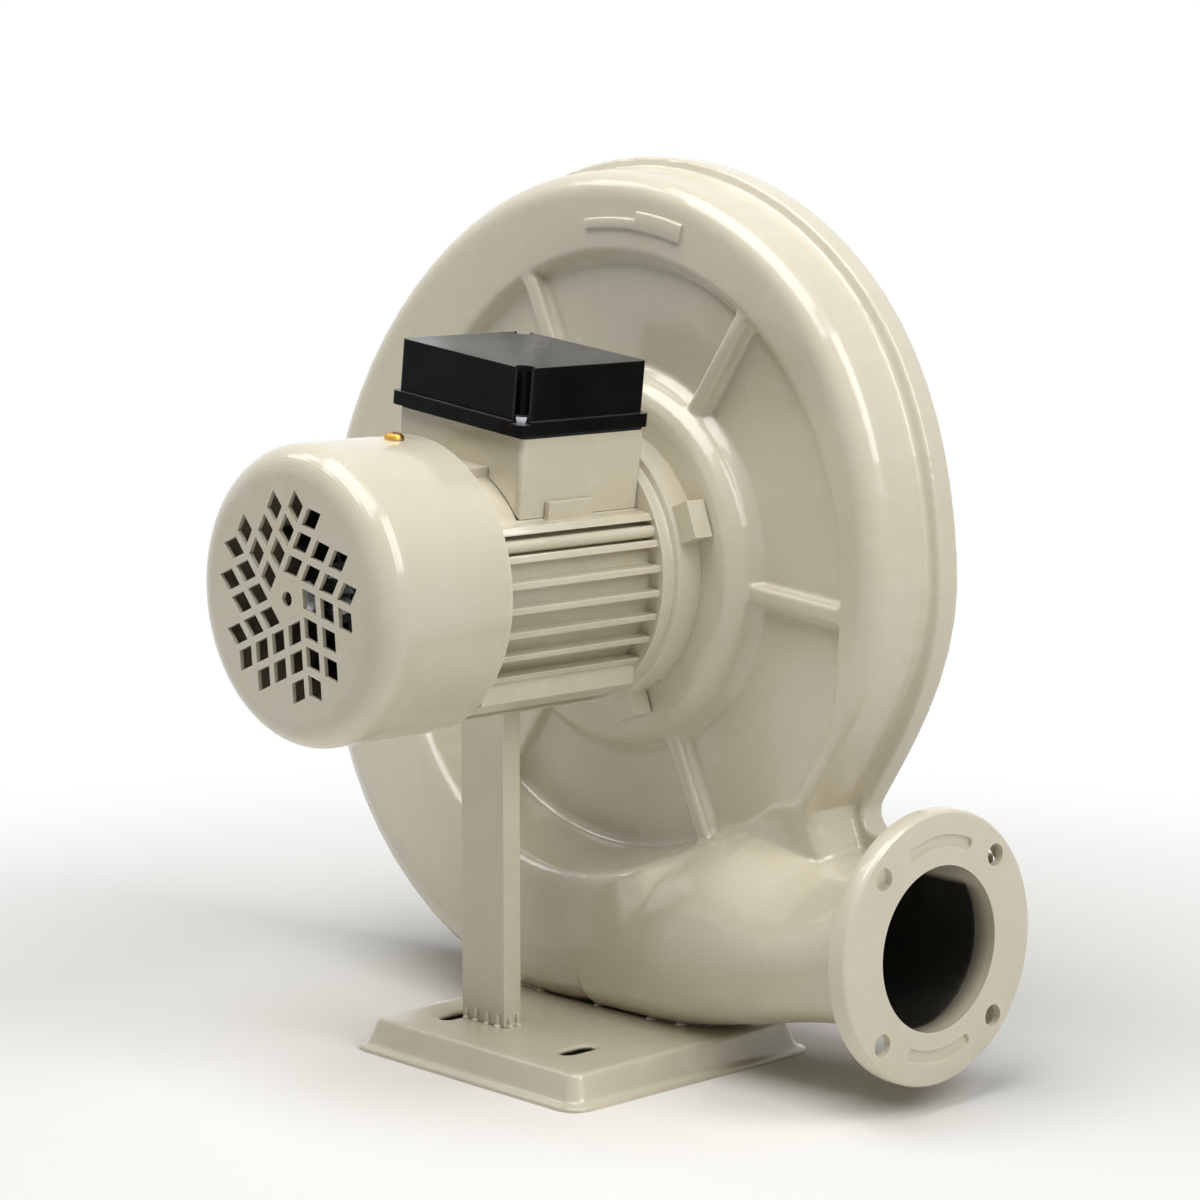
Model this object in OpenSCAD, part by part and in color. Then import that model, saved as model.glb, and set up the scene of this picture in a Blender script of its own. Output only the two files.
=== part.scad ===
// Centrifugal blower: pressed volute casing on a pressed foot, driven by a finned enclosed motor.
// Frame: origin at the centre of the foot on the floor, +X to the outlet, +Y to the inlet, +Z up.

/* [Foot] */
// Width of the foot along X
foot_w = 158; // [140:1:180]
// Depth of the foot along Y
foot_d = 158; // [150:1:170]
// Height of the foot's top plate
foot_h = 15.5; // [14:0.5:18]
// Sheet thickness of the foot
foot_t = 2.5; // [2:0.25:3]
// How far the foot's sides slope in
foot_slope = 5; // [3:0.5:8]
// Width of the flat lip round the foot
foot_lip = 3; // [2:0.5:5]
// Corner radius of the foot's lip
foot_corner = 10; // [9:1:14]
// Distance between the two foot slots
slot_pitch = 85; // [84:1:95]
// Length of each foot slot, end to end
slot_len = 20; // [14:1:26]
// Width of each foot slot
slot_w = 7.5; // [6:0.25:8]
// Distance of the slots from the front lip
slot_setback = 39; // [30:1:44]
// Distance of the slots' middle from the foot's middle
slot_dx = -3; // [-4:0.5:0]

/* [Post] */
// Width of the motor post along X
post_w = 30; // [24:1:32]
// Depth of the motor post along Y
post_d = 11; // [9:1:16]
// Sheet thickness of the motor post
post_t = 3; // [2:0.5:4]
// Distance of the post's front face from the casing's ring face
post_y = 86; // [78:1:95]

/* [Shaft line] */
// Height of the scroll's lowest point above the floor
scroll_rise = 11; // [10:0.5:13]
// Distance of the shaft from the foot's middle, towards -X
shaft_dx = 26.5; // [24:0.5:30]
// Distance of the casing's ring face behind the foot's middle
casing_setback = 46; // [45:0.5:48]

/* [Casing] */
// Sheet thickness of the casing
wall = 3; // [2:0.5:4]
// Scroll radius at the right, top, left and bottom
scroll_quarter = [173, 187, 217, 220]; // [165:1:230]
// Scroll radius at the upper right, upper left, lower left and lower right
scroll_diagonal = [181, 198, 228, 190]; // [170:1:235]
// How far the scroll's wall steps in at the tongue
tongue_step = 21; // [16:1:24]
// Radius of the round recess round the motor
recess_r = 148; // [144:1:152]
// Depth of the recess at the top
recess_depth = 7; // [5:0.5:9]
// How far the scroll bulges forward at the bottom
bulge_depth = 38; // [30:1:42]
// Fillet of the ring's outer edge
ring_fillet = 12; // [8:1:14]
// Extra fillet where the scroll bulges
bulge_fillet = 20; // [10:1:24]
// Radius of the boss that carries the motor
boss_r = 92; // [88:1:96]
// Height of the boss above the recess floor
boss_h = 15; // [13:0.5:18]
// Rounding of the boss's shoulder
boss_round = 14; // [10:1:16]
// Number of stiffening ribs on the recess floor
rib_count = 6; // [3:1:8]
// Width of a rib at its top
rib_w = 7.5; // [5:0.5:9]
// Height of a rib above the recess floor
rib_h = 6.6; // [4:0.2:8]
// Turn of the ribs from the horizontal
rib_turn = -5; // [-20:1:20]
// How far the seam band stands out from the scroll
rim_out = 6; // [5:0.5:8]
// Distance of the seam band's front from the ring face
rim_front = 33.5; // [33:0.5:36]
// Width of the seam band
rim_w = 15; // [13:0.5:17]
// Sheet thickness of the seam band's edge
rim_t = 2.5; // [2:0.25:3]

/* [Outlet] */
// Height of the outlet's middle above the floor
outlet_h = 75.5; // [74:0.5:78]
// Distance of the outlet's middle in front of the ring face
outlet_y = 2; // [1:0.5:4]
// Distance of the flange face from the shaft
outlet_x = 213.5; // [205:0.5:225]
// Outer radius of the outlet pipe
pipe_r = 42; // [40:0.5:43]
// Step from the pipe's inside to the flange's bore
bore_step = 1; // [0.5:0.25:2]
// Thickness of the outlet flange
flange_t = 11; // [8:0.5:14]
// Bolt circle diameter of the outlet flange
flange_pcd = 106; // [104:1:110]
// Width of the flange outside its bolt circle
flange_edge = 10; // [8:0.5:13]
// Diameter of the flange's bolt holes
flange_hole_d = 10.5; // [8:0.5:12]
// Number of flange bolt holes
flange_holes = 4; // [4:1:8]
// Rounding of the flange's edge
flange_round = 2.5; // [1:0.5:3]
// Thickness of the flange's web, between its rim and its hub
flange_web = 4; // [3:0.5:8]

/* [Inlet] */
// Radius of the inlet throat
inlet_r = 46; // [40:1:50]
// Sheet thickness of the rear cover
cover_t = 3; // [2:0.5:3.5]
// How deep the cover sits in the seam band
cover_sink = 3.5; // [3:0.5:5]
// Wire radius of the inlet guard
wire_r = 1.5; // [1:0.25:2]
// Pitch of the inlet guard's rings
guard_pitch = 12; // [11:0.5:13]
// Width of the raised seat round the throat
guard_seat = 14; // [12:0.5:18]

/* [Impeller] */
// Radius of the impeller
impeller_r = 132; // [120:1:136]
// Width of the impeller's blades along the shaft
blade_w = 16; // [12:0.5:17]
// Number of impeller blades
blade_count = 10; // [6:1:14]
// Thickness of a blade
blade_t = 2; // [1.5:0.25:3]
// Backward sweep of a blade
blade_sweep = 48; // [30:1:60]
// Thickness of the impeller's discs
disc_t = 2; // [1.5:0.25:2.5]
// Radius of the impeller's hub
hub_r = 19; // [17:0.5:24]
// Gap between the casing and the impeller's backplate
impeller_gap = 4; // [3:0.5:5]

/* [Motor] */
// Turn of the motor about its shaft
motor_roll = 6.6; // [0:0.1:8]
// Bore radius of the motor frame
frame_bore_r = 53; // [50:0.5:56]
// Wall of the motor frame's barrel
frame_wall = 4; // [3:0.5:6]
// Height of the frame's fins
fin_h = 7; // [5:0.5:9]
// Thickness of a fin
fin_t = 3; // [2:0.5:4]
// Pitch of the fins
fin_pitch = 11.5; // [10:0.5:13]
// Length of the motor frame
frame_l = 95; // [90:1:100]
// Height of the frame's foot pad below the barrel
pad_h = 5; // [4:0.5:8]
// Width of the frame's foot pad
pad_w = 46; // [42:1:52]
// Depth of the drive end shield
shield_l = 23; // [21:0.5:26]
// How far the drive end shield reaches beyond the tie rods' circle
shield_lip = 5; // [4.5:0.5:8]
// Width of the shield's four ears
ear_w = 18; // [14:0.5:20]
// How far the ears reach beyond the tie rods' circle
ear_out = 17; // [12:0.5:18]
// Depth of the ears along the shaft
ear_d = 12; // [8:0.5:12]
// Depth of the fan end shield
fan_shield_l = 14; // [13:0.5:18]
// Turn of the four tie rods from the horizontal
rod_angle = 27; // [25:1:29]
// Radius of a tie rod
rod_r = 3; // [2.5:0.25:3.5]
// Gap between a tie rod and the barrel
rod_clear = 1; // [0.5:0.25:2]

/* [Cowl] */
// How far the cowl reaches beyond the tie rods' circle
cowl_over = 8; // [7.75:0.25:12]
// Length of the fan cowl
cowl_l = 73; // [68:1:80]
// Sheet thickness of the fan cowl
cowl_t = 2; // [1.5:0.25:2]
// Rounding of the cowl's front edge
cowl_round = 14.5; // [10:0.5:15]
// Gap between the cowl and the frame
cowl_gap = 2.5; // [1.5:0.5:4]
// Pitch of the vent lozenges
vent_pitch = 12.9; // [11:0.1:13.5]
// Side of a vent lozenge
vent_side = 9.3; // [6:0.1:10]
// Turn of the vent star
vent_turn = 65.6; // [0:0.1:71]
// Radius of the cooling fan
fan_r = 56; // [48:1:60]
// Depth of the cooling fan
fan_l = 22; // [16:1:26]
// Number of cooling fan blades
fan_blades = 9; // [5:1:12]

/* [Terminal box] */
// Width of the terminal lid's lip along X
lid_w = 90.5; // [86:0.5:94]
// Depth of the terminal lid's lip along Y
lid_d = 81.5; // [76:0.5:84]
// Height of the lid with its gasket
lid_h = 32.4; // [26:0.1:36]
// Height of the lid's lip
lid_lip_h = 6.5; // [4:0.5:8]
// How far the lid's lip stands out
lid_lip = 2.5; // [2:0.5:4]
// Wall of the terminal box and its lid
box_t = 3; // [2:0.5:4]
// Height of the box's rim above the frame's top pad
box_rise = 16.5; // [14:0.5:20]
// How far the box's skirt hangs below the barrel's top
box_drop = 20; // [18:0.5:22]
// Distance of the box's rear face from the frame's drive end
box_setback = -1.5; // [-2:0.5:2]
// Width of the screw pockets in the lid's corners
notch = 9; // [8:0.5:10]
// Width of the terminal board
board_w = 44; // [36:1:50]
// Depth of the terminal board
board_d = 34; // [28:1:40]

/* [Shaft and bearings] */
// Radius of the shaft in the bearings
journal_r = 7.5; // [7:0.25:8]
// Step from the journals down to the shaft's ends
end_step = 0.5; // [0.25:0.25:1.5]
// Radius of the shaft in the rotor
rotor_seat_r = 10; // [9.5:0.25:11]
// Outer radius of a bearing
bearing_r = 17.5; // [17:0.25:19]
// Width of a bearing
bearing_w = 11; // [10:0.5:12]
// Number of balls in a bearing
ball_count = 8; // [6:1:9]
// Radius of the rotor core
rotor_r = 30; // [26:0.5:32]
// Length of the stator and rotor cores
core_l = 55; // [45:1:58]
// Air gap between rotor and stator
air_gap = 0.5; // [0.4:0.1:1]

/* [Clearances] */
// Gap between seated pieces of one body
seat_gap = 0.05; // [0.02:0.01:0.1]
// Gap between neighbours that don't seat on each other
part_gap = 0.3; // [0.2:0.05:0.5]
// Gap between the shaft and its seal
seal_gap = 0.05; // [0.02:0.01:0.1]
// Gap between balls and races
race_gap = 0.05; // [0.02:0.01:0.1]
// Gap between the scroll and the foot's cut-out
weld_gap = 2; // [1.5:0.25:3]

/* [Hidden] */
$fn = 96;
CREAM = "#d9d3c1";
STEEL = "#b9bcc0";
ZINC = "#d8a53a";
BLACK = "#17181a";
COPPER = "#b0632c";
IRON = "#6d7278";

// Overlap of a cutting shape beyond the face that it cuts
cut = 1;
// Quarter turns, for sets of four
quarters = [0, 90, 180, 270];

// Shaft line
shaft_h = scroll_rise + scroll_quarter[3];

// Fasteners
screw_r = 2.5;
screw_head_r = 4.6;
screw_head_h = 3;
screw_grip = 8;
cowl_screw_l = 10;
nut_r = 5.6;
nut_h = 5;

// Radii of the motor, outwards from the frame's bore
frame_r = frame_bore_r + frame_wall;
fin_r = frame_r + fin_h;
rod_circle_r = frame_r + rod_r + rod_clear;
shield_r = rod_circle_r + shield_lip;
shield_flange_r = shield_r + 2;
groove_r = rod_circle_r + rod_r + seat_gap + 0.8;
cowl_r = rod_circle_r + cowl_over;
motor_screw_circle_r = shield_r - 8;
pad_drop = frame_r + pad_h;
skirt_x = frame_r - 6;
skirt_low = pad_drop - 15.5;
skirt_top = skirt_low - 12.5;
fin_rows = floor(0.72 * frame_r / fin_pitch);
fin_clear = rod_r + rod_clear + 0.5;
lug_w = 12;
lug_clear = 2.5;

// Stations along the shaft, from the ring face, negative towards the motor
floor_y = recess_depth;
boss_y = floor_y - boss_h;
frame_y1 = boss_y - shield_l;
frame_y0 = frame_y1 - frame_l;
fan_shield_y0 = frame_y0 - fan_shield_l;
fan_web_y = fan_shield_y0 + 4;
cowl_y1 = frame_y0 - cowl_gap;
cowl_y0 = cowl_y1 - cowl_l;
cowl_screw_y = fan_web_y - 9;
lug_y0 = cowl_screw_y - 5.5;
ear_y0 = boss_y - ear_d;
ear_y1 = boss_y - 1;
rim_y1 = rim_front + rim_w;
cover_y1 = rim_y1 - cover_sink;
cover_y0 = cover_y1 - cover_t;
drive_bearing_y1 = boss_y - 9;
drive_bearing_y0 = drive_bearing_y1 - bearing_w;
fan_bearing_y0 = fan_shield_y0 + 2;
fan_bearing_y1 = fan_bearing_y0 + bearing_w;
core_y = (frame_y0 + frame_y1) / 2;
core_y0 = core_y - core_l / 2;
core_y1 = core_y + core_l / 2;
blade_y0 = floor_y + wall + impeller_gap + disc_t;
blade_y1 = blade_y0 + blade_w;
hub_y0 = boss_y + wall + screw_head_h + 2;
hub_y1 = blade_y1;
shaft_y1 = hub_y1 - 2;
shaft_y0 = cowl_y0 + 12;
fan_y1 = fan_shield_y0 - nut_h - 3;
fan_y0 = fan_y1 - fan_l;
circlip_t = 1;
circlip_y = fan_y0 - 0.7;

// Angles round the shaft, in degrees: where the bulge grows and falls, and where the tongue stands
bulge_from = 105;
bulge_full = 268;
fall_from = 286;
fall_to = 308;
neck_from = 313;
neck_to = 324;
tongue_from = 315;
tongue_to = 320;
scroll_angles = concat([for (a = [0:5:310]) a], [neck_from, 315.5, 317, 318.5, tongue_to, 322, 325],
                       [for (a = [330:5:355]) a]);
scroll_steps = len(scroll_angles);

// Scroll
scroll_r8 = [for (i = [0:3]) each [scroll_quarter[i], scroll_diagonal[i]]];
min_step = 0.8;
lane_r = 30;
register_r = 45;
root_fillet = 4;
crown_fillet = 7;
recess_slant = 5;
rim_chamfer = 1.5;
neck_widening = 12;
neck_land = 6;
neck_open = 20;

// Outlet
outlet_z = outlet_h - shaft_h;
pipe_x1 = outlet_x - flange_t;
outlet_bore_r = pipe_r - wall - bore_step;
flange_r = flange_pcd / 2 + flange_edge;
flange_hub = 2;
flange_rim = 3.5;
pipe_sides = 32;
band_drop = 7;
band_round = 9;
// Spout sections: share of the way to the flange, drop of the top, forward share, backward lean of the top
spout_rows = [
    [0.06, 40, 0, 8], [0.19, 27, 0.1, 14], [0.295, 16.5, 0.3, 24], [0.385, 8.5, 0.45, 32],
    [0.46, 6.5, 0.55, 35], [0.555, 10, 0.65, 35], [0.64, 14, 0.75, 34], [0.73, 15, 0.85, 30],
    [0.81, 11, 0.92, 20], [0.89, 4.5, 0.97, 9], [0.96, 0.5, 1, 2], [1, 0, 1, 0]
];

// Foot cut-out, from the shaft: its middle, its ends and how fast its two arms fall back
cut_x = 28;
cut_left = -66;
cut_right = 92;
cut_step = 6;
cut_curve = [0.0024, 0.0055];

// Inlet
guard_r = inlet_r + guard_seat / 2;
guard_y = cover_y1 + cover_t + wire_r;
guard_screw_circle_r = guard_r + wire_r + screw_r + 1;

// Impeller
eye_r = inlet_r + cover_t + 2;
blade_in = eye_r + 4;
blade_out = impeller_r - 2;
blade_steps = 8;

// Terminal box
box_inset = 1.5;
box_w = lid_w - 2 * box_inset;
box_d = lid_d - 2 * lid_lip;
box_y = frame_y1 - box_setback - box_d / 2;
box_corner = 3;
pad_top = frame_r + 0.5;
pad_half = box_w / 4;
box_low = frame_r - box_drop;
box_floor = pad_top + box_t;
lid_low = pad_top + box_rise;
lid_top = lid_low + lid_h;
lid_shift = -1.5;
gasket_t = 1.5;
lid_seat = lid_low + gasket_t;
lid_step = lid_seat + lid_lip_h;
pocket_low = lid_step - 1;
lid_screw_l = 10;
tab = [3, 27, 10];
tab_drop = 2.5;
tab_in = 22;
lead_hole_r = 5;
lead_hole_in = 13;

// Terminal board and gland
board_t = 6;
stud_r = 2;
stud_l = 7;
stud_pitch = [14, 18];
stud_nut_r = 3.6;
stud_nut_h = 3;
gland_r = (box_rise - box_t) / 2 - 0.75;
gland_z = (box_floor + lid_low) / 2;
gland_l = 10;
gland_in = 4;
gland_collar = 4;
gland_lip = 2;

// Windings
slot_count = 24;
coil_w = 14;
coil_l = 12;
stator_r = rotor_r + air_gap;

// Shaft and bearings
shaft_end_r = journal_r - end_step;
pitch_r = (journal_r + bearing_r) / 2;
ball_r = 0.3 * (bearing_r - journal_r);
race_t = 0.28 * (bearing_r - journal_r);
cage_t = 0.8;
seal_r = journal_r + 6;
ring_l = 8;
key_w = 5;
key_h = 5;
key_sink = 3;

// Smooth step from 0 at a to 1 at b
function clamp01(t) = max(0, min(1, t));
function ease(x, a, b) = let (t = clamp01((x - a) / (b - a))) t * t * (3 - 2 * t);

function arc(cx, cy, r, a0, a1, n) =
    [for (i = [0:n]) let (a = a0 + (a1 - a0) * i / n) [cx + r * cos(a), cy + r * sin(a)]];

// Smooth curve through the eight scroll radii, stepped in at the tongue
function spline(a, b, c, d, t) =
    b + 0.5 * t * (c - a + t * (2 * a - 5 * b + 4 * c - d + t * (3 * (b - c) + d - a)));
function tongue_share(angle) = ease(angle, tongue_from, tongue_to) * (1 - ease(angle, 318, 362));
function scroll_radius(angle) =
    let (u = angle / 45, i = floor(u), t = u - i)
    spline(scroll_r8[(i + 7) % 8], scroll_r8[i % 8], scroll_r8[(i + 1) % 8], scroll_r8[(i + 2) % 8], t)
    - tongue_step * tongue_share(angle);

// Radius of the recess, wider by the tongue where the ring narrows to a neck
function recess_radius(angle) =
    recess_r + min(neck_widening, scroll_radius(angle) - neck_land - recess_r)
    * ease(angle, 312, 322) * (1 - ease(angle, 326, 352));

// Ring face: level at the top, forward to the bulge, back to the recess floor under the tongue
function bulge_share(angle) = pow(ease(angle, bulge_from, bulge_full), 1.6);
function ring_face(angle) =
    -bulge_depth * bulge_share(angle)
    + (floor_y - min_step + bulge_depth) * ease(angle, fall_from, fall_to)
    - (floor_y - min_step) * ease(angle, neck_from, neck_to);
function edge_fillet(angle) =
    ring_fillet + bulge_fillet * bulge_share(angle) * (1 - ease(angle, 290, tongue_to));

// Cross-section of the scroll in (radius, y); inset draws the hollow inside the sheet
// The hollow turns in ahead of the tongue's steep step, so that the sheet keeps its thickness there
function scroll_section(angle, inset) =
    let (
        ahead = 180 / PI * inset / scroll_radius(angle),
        radius = min(scroll_radius(angle), scroll_radius(angle + ahead)) - inset,
        bed = floor_y + inset,
        room = scroll_radius(angle) - recess_radius(angle),
        inner = min(recess_radius(angle) + inset, radius - 8),
        pocket = scroll_radius(angle) + rim_out - rim_t,
        closed = inset > 0 ? 1 - ease(room, neck_widening, neck_open) : 0,
        face = (ring_face(angle) + inset) * (1 - closed) + (bed - 0.3) * closed,
        rise = bed - face,
        root = min(root_fillet, 0.4 * rise),
        crown = min(crown_fillet, 0.45 * rise),
        slant = min(recess_slant, 0.25 * rise),
        edge = min(edge_fillet(angle) - inset, 0.55 * (radius - inner - crown)),
        front = boss_y + inset,
        shoulder = boss_round - inset
    )
    concat(
        [[lane_r, front]],
        arc(boss_r - boss_round, front + shoulder, shoulder, -90, -12, 4),
        arc(boss_r + root + 1.5, bed - root, root, 165, 90, 2),
        arc(inner - slant - root, bed - root, root, 90, 0, 2),
        arc(inner + crown, face + crown, crown, 180, 270, 3),
        arc(radius - edge, face + edge, edge, -90, 0, 5),
        inset == 0
            ? [[radius, rim_front], [radius + rim_out, rim_front + rim_chamfer],
               [radius + rim_out, rim_y1 - rim_chamfer], [radius + rim_out - rim_chamfer, rim_y1],
               [lane_r, rim_y1]]
            : [[radius, cover_y0], [pocket, cover_y0], [pocket, rim_y1 + cut], [lane_r, rim_y1 + cut]]
    );

// Closed sweep of the scroll sections round the shaft
module scroll_body(inset) {
    sections = [for (a = scroll_angles) scroll_section(a, inset)];
    n = len(sections[0]);
    points = [for (i = [0:scroll_steps - 1]) let (a = scroll_angles[i])
        for (p = sections[i]) [p[0] * cos(a), p[1], p[0] * sin(a)]];
    faces = [for (i = [0:scroll_steps - 1]) for (j = [0:n - 1])
        let (k = (i + 1) % scroll_steps, a = i * n + j, b = i * n + (j + 1) % n,
             c = k * n + (j + 1) % n, d = k * n + j)
        each [[a, c, b], [a, d, c]]];
    polyhedron(points, faces, convexity = 8);
}

// Outlet spout: sections grow out of the scroll's bulge into a round pipe
function spout_section(row, inset) =
    let (
        share = row[0],
        mid = -outlet_y,
        sag = (scroll_quarter[3] - 1 + outlet_z - pipe_r) * (1 - ease(share, 0.22, 0.915)),
        low = outlet_z - pipe_r - sag + inset,
        high = outlet_z + pipe_r - row[1] - inset,
        start = bulge_depth - outlet_y - 1,
        reach = start + (pipe_r - start) * row[2] - inset,
        power = 2 / (2.7 - 0.7 * ease(share, 0.295, 0.94))
    )
    [for (i = [0:pipe_sides - 1])
        let (
            a = 360 * i / pipe_sides,
            c = cos(a),
            s = sin(a),
            lean = row[3] * pow(max(s, 0), 2),
            y = mid + reach * sign(c) * pow(abs(c), power) + lean,
            z = (low + high) / 2 + (high - low) / 2 * sign(s) * pow(abs(s), power)
        )
        [share * pipe_x1, min(mid + pipe_r - inset, y), z]];

// The hollow ends a little beyond the sheet
module spout_body(inset) {
    last = len(spout_rows) - 1;
    shift = inset > 0 ? cut : 0;
    points = [for (i = [0:last]) for (q = spout_section(spout_rows[i], inset))
        [q[0] + (i == last ? shift : 0), q[1], q[2]]];
    faces = concat(
        [[for (j = [0:pipe_sides - 1]) j]],
        [[for (j = [pipe_sides - 1:-1:0]) last * pipe_sides + j]],
        [for (i = [0:last - 1]) for (j = [0:pipe_sides - 1])
            let (a = i * pipe_sides + j, b = i * pipe_sides + (j + 1) % pipe_sides)
            each [[a, b + pipe_sides, b], [a, a + pipe_sides, b + pipe_sides]]]);
    polyhedron(points, faces, convexity = 4);
}

// Seam band along the top of the spout, rounded from the scroll's neck to the flange
module spout_band() {
    top = outlet_z + pipe_r - band_drop;
    neck = scroll_radius(tongue_to);
    side = neck * cos(40) + rim_out;
    along_y(rim_front, rim_y1)
        polygon(concat(
            [[neck * cos(36), -neck * sin(36)], [side, -neck * sin(40)]],
            arc(side + band_round, top + band_round, band_round, 180, 270, 4),
            [[pipe_x1, top], [pipe_x1, top - rim_out], [neck * cos(41), top - rim_out]]));
}

// Placing helpers
module on_shaft() translate([-shaft_dx, casing_setback, shaft_h]) children();
module rolled() rotate([0, motor_roll, 0]) children();
module on_motor() on_shaft() rolled() children();
module revolve(points) rotate([-90, 0, 0]) rotate_extrude() polygon(points);
module tube(r0, r1, y0, y1) revolve([[r0, y0], [r1, y0], [r1, y1], [r0, y1]]);
module rod(r, y0, y1) translate([0, y0, 0]) rotate([-90, 0, 0]) cylinder(r = r, h = y1 - y0);
module hex_rod(r, y0, y1) translate([0, y0, 0]) rotate([-90, 0, 0]) cylinder(r = r, h = y1 - y0, $fn = 6);
module along_y(y0, y1) translate([0, y1, 0]) rotate([90, 0, 0]) linear_extrude(y1 - y0) children();
module turned(a) rotate([0, -a, 0]) children();
module at_rods() for (a = quarters) turned(rod_angle + a) translate([rod_circle_r, 0, 0]) children();

module rounded_rect(w, d, r) {
    square([w - 2 * r, d], center = true);
    square([w, d - 2 * r], center = true);
    for (x = [-1, 1], y = [-1, 1])
        translate([x * (w / 2 - r), y * (d / 2 - r)]) circle(r);
}

// Foot: pressed tray with a flat lip, two slots and a cut-out for the scroll
module tray(shrink, z0, z1) {
    skin = 0.01;
    low_cut = 2 * foot_lip + shrink;
    top_cut = low_cut + 2 * foot_slope;
    hull() {
        translate([0, 0, z0]) linear_extrude(skin)
            rounded_rect(foot_w - low_cut, foot_d - low_cut, foot_corner - 2, $fn = 32);
        translate([0, 0, z1 - skin]) linear_extrude(skin)
            rounded_rect(foot_w - top_cut, foot_d - top_cut, foot_corner - 4, $fn = 32);
    }
}

module slot() {
    reach = (slot_len - slot_w) / 2;
    for (y = [-reach, reach]) translate([0, y, 0]) cylinder(d = slot_w, h = 3 * foot_h, center = true);
    cube([slot_w, 2 * reach, 3 * foot_h], center = true);
}

// Plan of the cut-out: a flat arch that follows the scroll's underside
function cut_front(x) =
    -bulge_depth + 1 - weld_gap + (x < cut_x ? cut_curve[0] : cut_curve[1]) * pow(x - cut_x, 2);

module scroll_cutout() {
    arch = [for (x = [cut_left:cut_step:cut_right]) [x, cut_front(x)]];
    translate([-shaft_dx, casing_setback, shaft_h - scroll_quarter[3] - weld_gap])
        linear_extrude(foot_h)
            polygon(concat(arch, [[cut_right, foot_d], [cut_left, foot_d]]));
}

module foot() color(CREAM) difference() {
    union() {
        tray(0, 0, foot_h);
        linear_extrude(foot_t) rounded_rect(foot_w, foot_d, foot_corner);
    }
    tray(2 * foot_t, -0.5 * cut, foot_h - foot_t);
    for (x = [-1, 1]) translate([slot_dx + x * slot_pitch / 2, slot_setback - foot_d / 2, 0]) slot();
    scroll_cutout();
}

// Motor post: folded channel whose top is cut to the motor's foot pad
module motor_post() color(CREAM) difference() {
    translate([-shaft_dx - post_w / 2, casing_setback - post_y, foot_h])
        difference() {
            cube([post_w, post_d, shaft_h - foot_h]);
            translate([post_t, post_t, -cut]) cube([post_w - 2 * post_t, post_d, shaft_h]);
        }
    on_motor() translate([-2 * post_w, -post_y - post_d, -pad_drop])
        cube([4 * post_w, 4 * post_d, shaft_h]);
}

// Casing front: scroll and spout pressed from sheet, with boss, ribs and seam band
module rib() {
    half = rib_w / 2;
    foot_half = half + 1.5;
    top = floor_y - rib_h;
    root = floor_y + 2;
    inner = boss_r - 5;
    rotate([90, 0, 90]) translate([0, 0, inner]) linear_extrude(recess_r + 1 - inner)
        polygon([[root, -foot_half], [root, foot_half], [top, half], [top, -half]]);
}

module front_casing() color(CREAM) on_shaft() difference() {
    union() {
        scroll_body(0);
        spout_body(0);
        spout_band();
        for (i = [0:rib_count - 1]) turned(rib_turn + 360 * i / rib_count) rib();
    }
    scroll_body(wall);
    spout_body(wall);
    rod(register_r, boss_y - cut, floor_y + wall + cut);
    rolled() motor_screw_places() rod(screw_r + seat_gap, boss_y - cut, boss_y + wall + cut);
}

// Casing rear: pressed plate with the inlet throat
module rear_cover() color(CREAM) on_shaft() difference() {
    edge = rim_out - rim_t - part_gap;
    lip = inlet_r - cut;
    union() {
        along_y(cover_y0, cover_y1)
            polygon([for (a = scroll_angles) (scroll_radius(a) + edge) * [cos(a), sin(a)]]);
        tube(lip, inlet_r + cover_t, blade_y1 + disc_t + 1, cover_y1);
        tube(lip, inlet_r + guard_seat, cover_y1 - cut, cover_y1 + cover_t);
    }
    rod(inlet_r, blade_y1, rim_y1 + guard_seat);
    guard_screw_places() rod(screw_r + seat_gap, cover_y0 - cut, rim_y1 + guard_seat);
}

// Inlet guard: wire rings on crossed wires, held by four screws
module guard_screw_places() for (a = quarters)
    turned(a + 45) translate([guard_screw_circle_r, 0, 0]) children();

module guard_ring(r) rotate([-90, 0, 0]) translate([0, 0, guard_y]) rotate_extrude()
    translate([r, 0]) circle(wire_r, $fn = 24);

module inlet_guard() color(STEEL) on_shaft() {
    for (r = [guard_pitch:guard_pitch:guard_r - guard_pitch / 2]) guard_ring(r);
    guard_ring(guard_r);
    for (a = quarters) turned(a) translate([guard_pitch, guard_y + 1.3 * wire_r, 0]) rotate([0, 90, 0])
        cylinder(r = wire_r, h = guard_r - guard_pitch, $fn = 24);
}

module guard_screws() color(ZINC) on_shaft() guard_screw_places() {
    seat = guard_y + wire_r + seat_gap;
    rod(screw_r, cover_y0, seat + screw_head_h / 2);
    rod(screw_head_r, seat, seat + screw_head_h);
}

// Outlet flange: hub, web and rim, welded to the end of the spout
module outlet_flange() color(CREAM) on_shaft() translate([pipe_x1, -outlet_y, outlet_z]) difference() {
    rim = flange_r - flange_round;
    hub = pipe_r + flange_hub;
    rotate([0, 90, 0]) rotate_extrude() polygon(concat(
        [[outlet_bore_r, 0], [hub, 0], [hub, flange_t - flange_web],
         [flange_r - flange_rim, flange_t - flange_web], [flange_r - flange_rim, 0], [rim, 0]],
        arc(rim, flange_round, flange_round, -90, 0, 3),
        arc(rim, flange_t - flange_round, flange_round, 0, 90, 3),
        [[outlet_bore_r, flange_t]]));
    for (i = [0:flange_holes - 1]) rotate([(i + 0.5) * 360 / flange_holes, 0, 0])
        translate([-cut, 0, flange_pcd / 2]) rotate([0, 90, 0])
            cylinder(d = flange_hole_d, h = flange_t + 2 * cut);
}

// Screws from inside the casing into the drive end shield
module motor_screw_places() for (a = quarters) turned(a) translate([motor_screw_circle_r, 0, 0]) children();

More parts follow.
